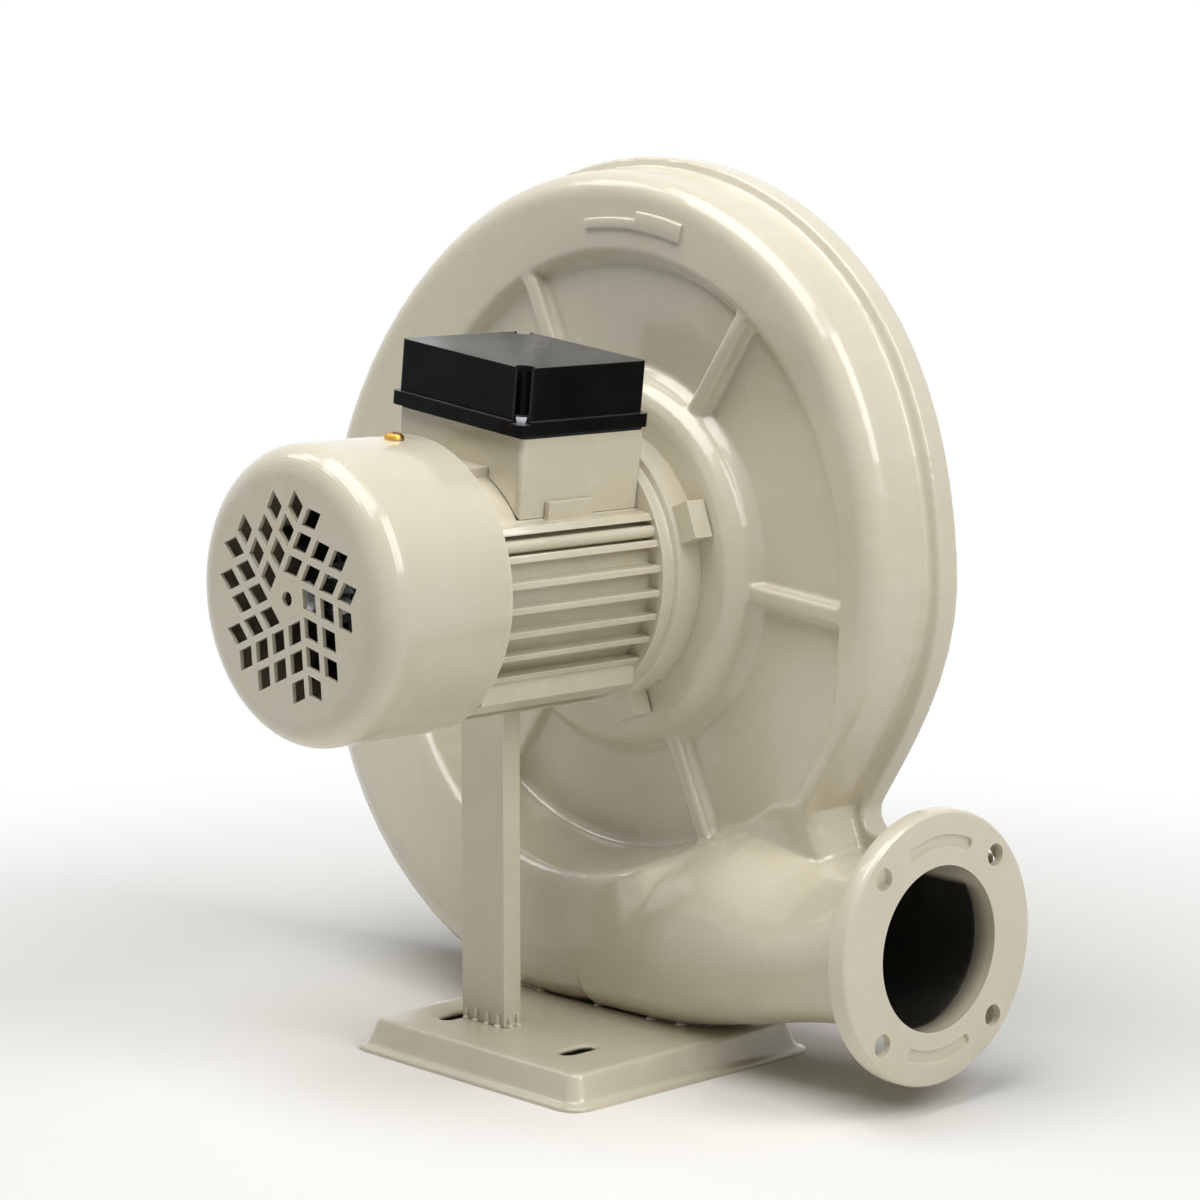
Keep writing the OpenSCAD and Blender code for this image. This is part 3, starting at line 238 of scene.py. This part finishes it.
def varnished_copper():
    """Enamelled winding wire under varnish: red-brown bundles with a glossy, lumpy coat."""
    material, tree, shader, place = new_material("varnished_copper", Metallic=0.75, Coat_Weight=0.6)
    # Wire is 0.6 mm; drawn at 1.6 mm
    strands = add_node(tree, "ShaderNodeTexVoronoi", {"Vector": place, "Scale": per_mm(1.6)})
    crown = add_node(tree, "ShaderNodeMapRange", {"Value": strands.outputs["Distance"], "From Min": 0.6,
                                                  "From Max": 0.0})
    colour = layered(tree, "#5a2c14", ("#a8592a", crown.outputs["Result"]))
    rough = patches(tree, place, 5, (0.3, 0.7), (0.3, 0.5))
    surface(tree, shader, colour, rough, crown.outputs["Result"], 0.5, 0.6)
    return material


def dull_moulding(name, light, dark, rough, grain_mm):
    """Nylon or rubber moulding: near black, dusty, with a soft grain that keeps the shine broad."""
    material, tree, shader, place = new_material(name, IOR=1.5)
    colour = layered(tree, dark, (light, patches(tree, place, 11, (0.45, 0.75), detail=4.0)))
    dulled = patches(tree, place, 6, (0.3, 0.7), (rough, rough + 0.15))
    grain = add_node(tree, "ShaderNodeTexNoise",
                     {"Vector": place, "Scale": per_mm(grain_mm), "Detail": 2.0})
    surface(tree, shader, colour, dulled, grain.outputs["Fac"], 0.15, 0.2)
    return material


def slot_materials(finish):
    """One material for each finish that the record names."""
    return {
        "cream_paint": sprayed_enamel(finish),
        "lid_black": moulded_lid_nylon(),
        "zinc_yellow": plated_metal("yellow_zinc", "#d2a24a", "#b98a3c", 0.28, 3.0),
        "bright_steel": plated_metal("bright_steel", "#c3c5c8", "#a6a9ad", 0.24, 8.0),
        "bearing_steel": plated_metal("ground_bearing_steel", "#c9cbcf", "#b2b5ba", 0.14, 6.0),
        "core_iron": stacked_iron(),
        "copper": varnished_copper(),
        "aluminium": plated_metal("cast_aluminium", "#b9bbbd", "#989b9e", 0.4, 5.0),
        "moulding_black": dull_moulding("black_nylon", "#2b2b2a", "#151516", 0.45, 0.9),
        "rubber_black": dull_moulding("nitrile_rubber", "#262524", "#111111", 0.65, 1.4),
    }


def new_piece(name, bm, material):
    """Puts a finished bmesh into the scene as a piece that rides on the blower's body."""
    mesh = bpy.data.meshes.new(name)
    bm.to_mesh(mesh)
    bm.free()
    piece = bpy.data.objects.new(name, mesh)
    bpy.context.scene.collection.objects.link(piece)
    mesh.materials.append(bpy.data.materials[material])
    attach(piece, BODY)
    return piece


def merged_copy(node):
    """A bmesh copy of a solid with its loose triangles joined."""
    bm = bmesh.new()
    bm.from_mesh(NODES[node].data)
    bmesh.ops.remove_doubles(bm, verts=bm.verts, dist=JOIN)
    return bm


def through_modifier(bm, kind, **settings):
    """The bmesh after one modifier, worked out on a scratch object that is removed again."""
    mesh = bpy.data.meshes.new("scratch")
    bm.to_mesh(mesh)
    bm.free()
    scratch = bpy.data.objects.new("scratch", mesh)
    bpy.context.scene.collection.objects.link(scratch)
    modifier = scratch.modifiers.new(kind, kind)
    for name, value in settings.items():
        setattr(modifier, name, value)
    deps = bpy.context.evaluated_depsgraph_get()
    result = bmesh.new()
    result.from_mesh(scratch.evaluated_get(deps).to_mesh())
    bpy.data.objects.remove(scratch)
    bpy.data.meshes.remove(mesh)
    return result


def cut_with(bm, cutter):
    """The first bmesh less the second."""
    mesh = bpy.data.meshes.new("cutter")
    cutter.to_mesh(mesh)
    cutter.free()
    tool = bpy.data.objects.new("cutter", mesh)
    bpy.context.scene.collection.objects.link(tool)
    result = through_modifier(bm, "BOOLEAN", operation="DIFFERENCE", solver="EXACT", object=tool)
    bpy.data.objects.remove(tool)
    bpy.data.meshes.remove(mesh)
    if not result.faces:
        raise RuntimeError("a cut left nothing of its piece")
    bmesh.ops.remove_doubles(result, verts=result.verts, dist=JOIN)
    return result


def smooth_faces(bm, sharp_angle):
    """Smooth shading that still breaks at edges sharper than the angle."""
    for face in bm.faces:
        face.smooth = True
    for edge in bm.edges:
        edge.smooth = len(edge.link_faces) == 2 and edge.calc_face_angle(0) < math.radians(sharp_angle)


def join_into(bm, other):
    """Adds a second bmesh to the first."""
    mesh = bpy.data.meshes.new("joined")
    other.to_mesh(mesh)
    other.free()
    bm.from_mesh(mesh)
    bpy.data.meshes.remove(mesh)


def blended_pressing(bm, voxel, zones, sink, most):
    """A pressed sheet with its creases blended; a zone is a test of a point and its passes.

    No point goes deeper into the sheet than sink, so that the sheet's two faces stay apart."""
    bm = through_modifier(bm, "REMESH", mode="VOXEL", voxel_size=voxel)
    bm.normal_update()
    start = [(v.co.copy(), v.normal.copy()) for v in bm.verts]
    for inside, passes in zones:
        verts = [v for v in bm.verts if inside(v.co)]
        for _ in range(passes):
            bmesh.ops.smooth_vert(bm, verts=verts, factor=0.5,
                                  use_axis_x=True, use_axis_y=True, use_axis_z=True)
    for v, (place, normal) in zip(bm.verts, start):
        depth = (v.co - place).dot(normal)
        if depth < -sink:
            v.co -= (depth + sink) * normal
    bm = through_modifier(bm, "DECIMATE", ratio=min(1.0, most / (2 * len(bm.faces))))
    smooth_faces(bm, 50)
    return bm


def spun_block(bm, corners, centre, axis, start, end, steps):
    """A bar of the given section swept round an axis from one angle to another, in degrees."""
    verts = [bm.verts.new(c) for c in corners]
    face = bm.faces.new(verts)
    first = Matrix.Translation(centre) @ Matrix.Rotation(math.radians(start), 4, axis) \
        @ Matrix.Translation(-centre)
    bmesh.ops.transform(bm, matrix=first, verts=verts)
    geom = [face, *face.edges, *verts]
    bmesh.ops.spin(bm, geom=geom, cent=centre, axis=axis, angle=math.radians(end - start), steps=steps)


class BlowerFinish(bpy.types.PropertyGroup):
    """Colours that a user would change."""
    enamel: FloatVectorProperty(
        name="Enamel", description="Colour of the sprayed enamel", subtype="COLOR",
        size=3, min=0.0, max=1.0, default=linear("#d2cbb6")[:3])
    floor: FloatVectorProperty(
        name="Floor", description="Colour of the studio floor", subtype="COLOR",
        size=3, min=0.0, max=1.0, default=linear("#efeeea")[:3])


class BlowerDetail(bpy.types.PropertyGroup):
    """Sizes of the details that the solids leave out."""
    casing_grid: FloatProperty(
        name="Casing grid", description="Grid on which the pressed casing's creases are blended",
        unit="LENGTH", default=1.25 * MM)
    casing_passes: IntProperty(
        name="Casing passes", description="Smoothing passes over the pressed casing", default=1)
    seam_passes: IntProperty(
        name="Seam passes", description="Smoothing passes over the casing's seam band", default=2)
    spout_passes: IntProperty(
        name="Spout passes", description="More smoothing passes over the front of the spout", default=20)
    foot_grid: FloatProperty(
        name="Foot grid", description="Grid on which the pressed foot's creases are blended",
        unit="LENGTH", default=1.0 * MM)
    foot_passes: IntProperty(
        name="Foot passes", description="Smoothing passes over the pressed foot", default=8)
    foot_gap: FloatProperty(
        name="Foot gap", description="Gap between the foot's plate and the scroll's underside",
        unit="LENGTH", default=0.8 * MM)
    pocket_depth: FloatProperty(
        name="Pocket depth", description="Depth of the cast pockets in the flange face",
        unit="LENGTH", default=1.6 * MM)
    arrow_height: FloatProperty(
        name="Arrow height", description="Height of the pressed arrow on the ring",
        unit="LENGTH", default=1.6 * MM)
    bead: FloatProperty(
        name="Tack size", description="Width of a tack weld", unit="LENGTH", default=4.5 * MM)
    edge_round: FloatProperty(
        name="Edge round", description="Rounding of cast and folded edges under the paint",
        unit="LENGTH", default=0.8 * MM)


class BLOWER_OT_finishes(bpy.types.Operator):
    """Gives every solid the finish that its slot names, and rounds the edges of castings"""
    bl_idname = "blower.finishes"
    bl_label = "Finishes"

    ROUNDED = ("motor_post", "terminal_box", "terminal_lid", "motor_frame", "drive_end_shield")

    def execute(self, context):
        detail = context.scene.blower_detail
        materials = slot_materials(context.scene.blower_finish)
        for name, node in NODES.items():
            slot = node.data.materials[0].name
            node.data.materials[0] = materials[slot]
            if name in self.ROUNDED:
                join = node.modifiers.new("join", "WELD")
                join.merge_threshold = JOIN
                edges = node.modifiers.new("edges", "BEVEL")
                edges.width = detail.edge_round
                edges.segments = 2
                edges.limit_method = "ANGLE"
                edges.angle_limit = math.radians(40)
                edges.harden_normals = True
        return {"FINISHED"}


class BLOWER_OT_casing(bpy.types.Operator):
    """Blends the creases of the pressed casing where scroll, ribs and spout meet"""
    bl_idname = "blower.casing"
    bl_label = "Pressed casing"

    # The seam band starts so far behind the ring's face, and the sheet by the flange is left as it is
    SEAM_BACK, FLANGE_MARGIN = 32 * MM, 4 * MM
    # The part of the spout that gets more passes
    SPOUT_TOP, SPOUT_LEFT = 100 * MM, -10 * MM
    # How far a point may go into the sheet, and the most triangles
    SINK = 0.8 * MM
    TRIANGLES = 190000

    def execute(self, context):
        detail = context.scene.blower_detail
        seam_y = RING_FACE_Y + self.SEAM_BACK
        flange_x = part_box("outlet_flange")[0].x - self.FLANGE_MARGIN
        zones = [
            (lambda p: p.y >= seam_y, detail.seam_passes),
            (lambda p: p.y < seam_y and p.x < flange_x, detail.casing_passes),
            (lambda p: p.y < SPOUT_AXIS.y and self.SPOUT_LEFT < p.x < flange_x and p.z < self.SPOUT_TOP,
             detail.spout_passes),
        ]
        bm = blended_pressing(merged_copy("front_casing"), detail.casing_grid, zones,
                              self.SINK, self.TRIANGLES)
        piece = new_piece("pressed_casing", bm, "sprayed_enamel")
        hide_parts("front_casing")
        return {"FINISHED"}


class BLOWER_OT_foot(bpy.types.Operator):
    """Softens the edges of the pressed foot and brings its plate up to the scroll"""
    bl_idname = "blower.foot"
    bl_label = "Pressed foot"

    # Two corners of the plate's tongue under the scroll, in millimetres in the frame
    TONGUE = ((-69, 0), (66, 70))
    # The tongue's thickness, and how far it stays below the plate's top
    SHEET, BELOW_TOP = 2.2 * MM, 0.1 * MM
    # How high and how far to the outlet the scroll's underside is taken
    SCROLL_HIGH, SCROLL_RIGHT = 45 * MM, 60 * MM
    # The face on the floor stays flat up to this height
    FLAT = 0.2 * MM
    # How far a point may go into the sheet, and the most triangles
    SINK = 0.9 * MM
    TRIANGLES = 110000

    def tongue(self, gap):
        """The strip of the foot's plate between its cut-out and the scroll's underside."""
        (x0, y0), (x1, y1) = self.TONGUE
        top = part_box("motor_post")[0].z - self.BELOW_TOP
        middle = Matrix.Translation(((x0 + x1) / 2 * MM, (y0 + y1) / 2 * MM, top - self.SHEET / 2))
        sides = Matrix.Diagonal(((x1 - x0) * MM, (y1 - y0) * MM, self.SHEET, 1))
        plate = bmesh.new()
        bmesh.ops.create_cube(plate, size=1.0, matrix=middle @ sides)
        scroll = merged_copy("front_casing")
        far = [v for v in scroll.verts if v.co.z > self.SCROLL_HIGH or v.co.x > self.SCROLL_RIGHT]
        bmesh.ops.delete(scroll, geom=far, context="VERTS")
        hull = bmesh.ops.convex_hull(scroll, input=scroll.verts)
        skin = {item for item in hull["geom"] if isinstance(item, bmesh.types.BMFace)}
        bmesh.ops.delete(scroll, geom=[f for f in scroll.faces if f not in skin], context="FACES")
        bmesh.ops.delete(scroll, geom=[v for v in scroll.verts if not v.link_faces], context="VERTS")
        bmesh.ops.recalc_face_normals(scroll, faces=scroll.faces)
        scroll.normal_update()
        for v in scroll.verts:
            v.co += gap * v.normal
        return cut_with(plate, scroll)

    def execute(self, context):
        detail = context.scene.blower_detail
        zones = [(lambda p: p.z > self.FLAT, detail.foot_passes)]
        bm = merged_copy("foot")
        join_into(bm, self.tongue(detail.foot_gap))
        bm = blended_pressing(bm, detail.foot_grid, zones, self.SINK, self.TRIANGLES)
        piece = new_piece("pressed_foot", bm, "sprayed_enamel")
        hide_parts("foot")
        return {"FINISHED"}


class BLOWER_OT_flange(bpy.types.Operator):
    """Cuts the two shallow cast pockets into the outlet flange's face"""
    bl_idname = "blower.flange"
    bl_label = "Outlet flange"

    # Inner and outer radius of a pocket's floor and of its mouth, in millimetres
    FLOOR_R, MOUTH_R = (46.6, 51.4), (45.2, 52.8)
    # Middle of each pocket and half its length, in degrees
    MIDDLES, HALF = (90, 270), 25
    # An end's upright edges turn by more than this, in radians, and are rounded
    CORNER, END_ROUND = 1.0, 2.2 * MM
    # How far the cutter stands out of the face
    CLEAR = 2 * MM

    def execute(self, context):
        detail = context.scene.blower_detail
        low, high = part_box("outlet_flange")
        centre = (low + high) / 2
        pockets = bmesh.new()
        back, front = high.x - detail.pocket_depth, high.x + self.CLEAR
        section = ((back, self.FLOOR_R[0]), (front, self.MOUTH_R[0]),
                   (front, self.MOUTH_R[1]), (back, self.FLOOR_R[1]))
        for middle in self.MIDDLES:
            corners = [centre + Vector((x - centre.x, r * MM, 0)) for x, r in section]
            start, end = middle - self.HALF, middle + self.HALF
            spun_block(pockets, corners, centre, Vector((1, 0, 0)), start, end, 20)
        bmesh.ops.recalc_face_normals(pockets, faces=pockets.faces)
        ends = [e for e in pockets.edges
                if e.calc_face_angle(0) > self.CORNER and e.verts[0].co.x != e.verts[1].co.x]
        bmesh.ops.bevel(pockets, geom=ends, offset=self.END_ROUND, affect="EDGES", segments=4, profile=0.5,
                        material=-1, offset_type="OFFSET")
        bm = cut_with(merged_copy("outlet_flange"), pockets)
        smooth_faces(bm, 25)
        piece = new_piece("cast_flange", bm, "sprayed_enamel")
        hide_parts("outlet_flange")
        return {"FINISHED"}


class BLOWER_OT_arrow(bpy.types.Operator):
    """Raises the plain turning arrow on the ring's top"""
    bl_idname = "blower.arrow"
    bl_label = "Turning arrow"

    # Inner and outer radius from the shaft in millimetres, first and last angle in degrees
    BARS = ((159.4, 165.6, 97.0, 84.2), (159.2, 169.4, 84.6, 74.0))
    # How deep a bar is rooted, the slope of its sides in millimetres and the rounding of its edges
    ROOT, SLOPE, ROUND = 1 * MM, 0.8, 0.5 * MM

    def execute(self, context):
        detail = context.scene.blower_detail
        bm = bmesh.new()
        centre = Vector((SHAFT.x, RING_FACE_Y, SHAFT.z))
        axis = Vector((0, -1, 0))
        back, front = self.ROOT, -detail.arrow_height
        for low, high, start, end in self.BARS:
            section = ((low, back), (low + self.SLOPE, front), (high - self.SLOPE, front), (high, back))
            corners = [centre + Vector((r * MM, y, 0)) for r, y in section]
            spun_block(bm, corners, centre, axis, start, end, 10)
        bmesh.ops.recalc_face_normals(bm, faces=bm.faces)
        bmesh.ops.bevel(bm, geom=bm.edges[:], offset=self.ROUND, affect="EDGES", segments=2, profile=0.5,
                        material=-1, offset_type="OFFSET")
        smooth_faces(bm, 40)
        new_piece("turning_arrow", bm, "sprayed_enamel")
        return {"FINISHED"}


class BLOWER_OT_welds(bpy.types.Operator):
    """Lays the tack welds round the post's foot and along the scroll's underside"""
    bl_idname = "blower.welds"
    bl_label = "Tack welds"

    # Place on the foot's top in millimetres, turn in degrees, length as a share of the tack size
    SCROLL_TACKS = ((-52, 21.5, 90, 1.4), (-12, 23, 85, 1.5), (24, 23.6, 75, 1.5), (41, 26.5, 55, 1.4))
    POST_TACKS = ((-38, -40.6, 90, 0.9), (-31, -40.6, 80, 1.1), (-23, -40.6, 95, 1.0),
                  (-15.5, -40.6, 85, 1.1), (-11, -37, 0, 1.0), (-11, -32, 0, 1.1), (-42, -34, 0, 1.1))
    # Width and height of a tack, then the three sides of its run up the post, as shares of the tack size
    TACK, RUN = (0.8, 0.75), (0.5, 0.45, 1.5)
    RUN_MIDDLE = 2.5 * MM

    def execute(self, context):
        size = context.scene.blower_detail.bead
        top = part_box("motor_post")[0].z
        bm = bmesh.new()
        for x, y, turn, stretch in self.SCROLL_TACKS + self.POST_TACKS:
            place = Matrix.Translation((x * MM, y * MM, top))
            shape = Matrix.Rotation(math.radians(turn), 4, "Z") @ Matrix.Diagonal((stretch, *self.TACK, 1))
            bmesh.ops.create_icosphere(bm, subdivisions=3, radius=size / 2, matrix=place @ shape)
        for x, y, _, stretch in self.POST_TACKS:
            place = Matrix.Translation((x * MM, y * MM, top + self.RUN_MIDDLE))
            shape = Matrix.Diagonal((*self.RUN[:2], self.RUN[2] * stretch, 1))
            bmesh.ops.create_icosphere(bm, subdivisions=3, radius=size / 2, matrix=place @ shape)
        smooth_faces(bm, 80)
        new_piece("tack_welds", bm, "sprayed_enamel")
        return {"FINISHED"}


class BLOWER_OT_screws(bpy.types.Operator):
    """Makes the cowl's pan-head screws with their cross recesses"""
    bl_idname = "blower.screws"
    bl_label = "Cowl screws"

    # Radius and height above the cowl in millimetres, from the screw's tip to the top of its head
    OUTLINE = ((0, -10), (2.4, -10), (2.4, 0.1), (4.6, 0.1), (4.5, 1.4), (3.6, 2.5), (2.0, 2.95), (0, 3))
    # The cowl's radius, and where along the shaft line the screws are
    COWL_R = 69 * MM
    STATION = -99 * MM
    # Length, width and depth of a slot of the cross, its height and the two turns in degrees
    SLOT = (4.6 * MM, 1.1 * MM, 2.6 * MM)
    SLOT_MIDDLE = 2.6 * MM
    SLOT_TURNS = (35, 125)

    def pan_screw(self):
        bm = bmesh.new()
        verts = [bm.verts.new((r * MM, 0, z * MM)) for r, z in self.OUTLINE]
        edges = [bm.edges.new(pair) for pair in zip(verts, verts[1:])]
        bmesh.ops.spin(bm, geom=[*verts, *edges], cent=(0, 0, 0), axis=(0, 0, 1),
                       angle=2 * math.pi, steps=32, use_merge=True)
        bmesh.ops.remove_doubles(bm, verts=bm.verts, dist=0.01 * MM)
        bmesh.ops.recalc_face_normals(bm, faces=bm.faces)
        for turn in self.SLOT_TURNS:
            slot = bmesh.new()
            bmesh.ops.create_cube(slot, size=1.0, matrix=Matrix.Translation((0, 0, self.SLOT_MIDDLE))
                                  @ Matrix.Rotation(math.radians(turn), 4, "Z")
                                  @ Matrix.Diagonal((*self.SLOT, 1)))
            bm = cut_with(bm, slot)
        return bm

    def execute(self, context):
        bm = bmesh.new()
        for turn in (0, math.pi):
            screw = self.pan_screw()
            seat = Matrix.Translation((SHAFT.x, self.STATION, SHAFT.z)) \
                @ Matrix.Rotation(MOTOR_ROLL + turn, 4, "Y") @ Matrix.Translation((0, 0, self.COWL_R))
            bmesh.ops.transform(screw, matrix=seat, verts=screw.verts)
            join_into(bm, screw)
        smooth_faces(bm, 35)
        piece = new_piece("cowl_pan_screws", bm, "yellow_zinc")
        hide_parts("cowl_screws")
        return {"FINISHED"}


class BLOWER_OT_stage(bpy.types.Operator):
    """Sets the pale floor, the soft lamps, the white surround and the camera"""
    bl_idname = "blower.stage"
    bl_label = "Studio"

    # Name, place and aim in metres, width and height in metres, power in watts
    LAMPS = (("top_box", (0.0, -0.45, 1.7), (0, 0, 0.2), 1.5, 1.1, 24.0),
             ("left_box", (-1.1, -0.5, 1.45), (-0.03, 0, 0.15), 0.4, 0.6, 3.0),
             ("right_box", (1.35, 0.2, 1.3), (0.05, 0, 0.2), 0.8, 1.2, 16.0))
    AMBIENT = 0.04
    # Half the floor's side, and the distances from its middle between which it turns white, in metres
    FLOOR_HALF = 6.0
    FADE = (0.22, 0.75)
    CAMERA_PLACE = Vector((1180.8, -1104.5, 449.6)) * MM
    CAMERA_AIM = Vector((-31.1, 41.1, 210.8)) * MM
    LENS = 103.9

    def execute(self, context):
        scene = context.scene
        self.floor(scene)
        self.surround(scene)
        for name, place, aim, width, height, power in self.LAMPS:
            data = bpy.data.lights.new(name, "AREA")
            data.shape = "RECTANGLE"
            data.size, data.size_y = width, height
            data.energy = power
            lamp = bpy.data.objects.new(name, data)
            lamp.location = place
            lamp.rotation_euler = (Vector(aim) - Vector(place)).to_track_quat("-Z", "Y").to_euler()
            scene.collection.objects.link(lamp)
        self.camera(scene)
        scene.view_settings.view_transform = "Standard"
        return {"FINISHED"}

    def seen(self, tree):
        """1 for what the camera, a shine or a clear piece shows, 0 for light that falls on the object."""
        path = add_node(tree, "ShaderNodeLightPath")
        shine = add_node(tree, "ShaderNodeMath", {0: path.outputs["Is Camera Ray"],
                                                  1: path.outputs["Is Glossy Ray"]}, operation="ADD")
        clear = add_node(tree, "ShaderNodeMath", {0: shine.outputs[0],
                                                  1: path.outputs["Is Transmission Ray"]},
                         operation="ADD", use_clamp=True)
        return clear.outputs[0]

    def floor(self, scene):
        bm = bmesh.new()
        bmesh.ops.create_grid(bm, x_segments=1, y_segments=1, size=self.FLOOR_HALF)
        mesh = bpy.data.meshes.new("studio_floor")
        bm.to_mesh(mesh)
        bm.free()
        floor = bpy.data.objects.new("studio_floor", mesh)
        scene.collection.objects.link(floor)
        material, tree, shader, place = new_material("studio_paper", Roughness=0.9, Specular_IOR_Level=0.1)
        shader.inputs["Base Color"].default_value = [*scene.blower_finish.floor, 1.0]
        away = add_node(tree, "ShaderNodeVectorMath", {0: place}, operation="LENGTH")
        fade = add_node(tree, "ShaderNodeMapRange", {"Value": away.outputs["Value"],
                                                     "From Min": self.FADE[0], "From Max": self.FADE[1]},
                        interpolation_type="SMOOTHSTEP")
        share = add_node(tree, "ShaderNodeMath", {0: fade.outputs["Result"], 1: self.seen(tree)},
                         operation="MULTIPLY")
        white = add_node(tree, "ShaderNodeEmission", {"Color": "#ffffff", "Strength": 1.0})
        mixed = add_node(tree, "ShaderNodeMixShader", {0: share.outputs[0], 1: shader.outputs[0],
                                                       2: white.outputs[0]})
        output = next(n for n in tree.nodes if n.type == "OUTPUT_MATERIAL")
        tree.links.new(mixed.outputs[0], output.inputs["Surface"])
        mesh.materials.append(material)

    def surround(self, scene):
        world = bpy.data.worlds.new("studio_surround")
        world.use_nodes = True
        tree = world.node_tree
        tree.nodes.clear()
        level = add_node(tree, "ShaderNodeMapRange", {"Value": self.seen(tree), "To Min": self.AMBIENT})
        sky = add_node(tree, "ShaderNodeBackground", {"Color": "#ffffff", "Strength": level.outputs[0]})
        add_node(tree, "ShaderNodeOutputWorld", {"Surface": sky.outputs[0]})
        scene.world = world

    def camera(self, scene):
        data = bpy.data.cameras.new("photo_camera")
        data.sensor_width = 36.0
        data.lens = self.LENS
        camera = bpy.data.objects.new("photo_camera", data)
        camera.location = self.CAMERA_PLACE
        camera.rotation_euler = (self.CAMERA_AIM - self.CAMERA_PLACE).to_track_quat("-Z", "Y").to_euler()
        scene.collection.objects.link(camera)
        scene.camera = camera


OPERATORS = (BLOWER_OT_finishes, BLOWER_OT_casing, BLOWER_OT_foot, BLOWER_OT_flange, BLOWER_OT_arrow,
             BLOWER_OT_welds, BLOWER_OT_screws, BLOWER_OT_stage)


class BLOWER_PT_panel(bpy.types.Panel):
    """Lists the blower's pieces in the sidebar"""
    bl_idname = "BLOWER_PT_panel"
    bl_label = "Blower"
    bl_space_type = "VIEW_3D"
    bl_region_type = "UI"
    bl_category = "Blower"

    def draw(self, context):
        for group in (context.scene.blower_finish, context.scene.blower_detail):
            for name in group.__annotations__:
                self.layout.prop(group, name)
        for operator in OPERATORS:
            self.layout.operator(operator.bl_idname)


CLASSES = (BlowerFinish, BlowerDetail, *OPERATORS, BLOWER_PT_panel)


def register():
    for cls in CLASSES:
        bpy.utils.register_class(cls)
    bpy.types.Scene.blower_finish = PointerProperty(type=BlowerFinish)
    bpy.types.Scene.blower_detail = PointerProperty(type=BlowerDetail)


def unregister():
    del bpy.types.Scene.blower_finish
    del bpy.types.Scene.blower_detail
    for cls in reversed(CLASSES):
        bpy.utils.unregister_class(cls)


def main():
    register()
    bpy.ops.blower.finishes()
    bpy.ops.blower.casing()
    bpy.ops.blower.foot()
    bpy.ops.blower.flange()
    bpy.ops.blower.arrow()
    bpy.ops.blower.welds()
    bpy.ops.blower.screws()
    bpy.ops.blower.stage()


if __name__ == "__main__":
    main()
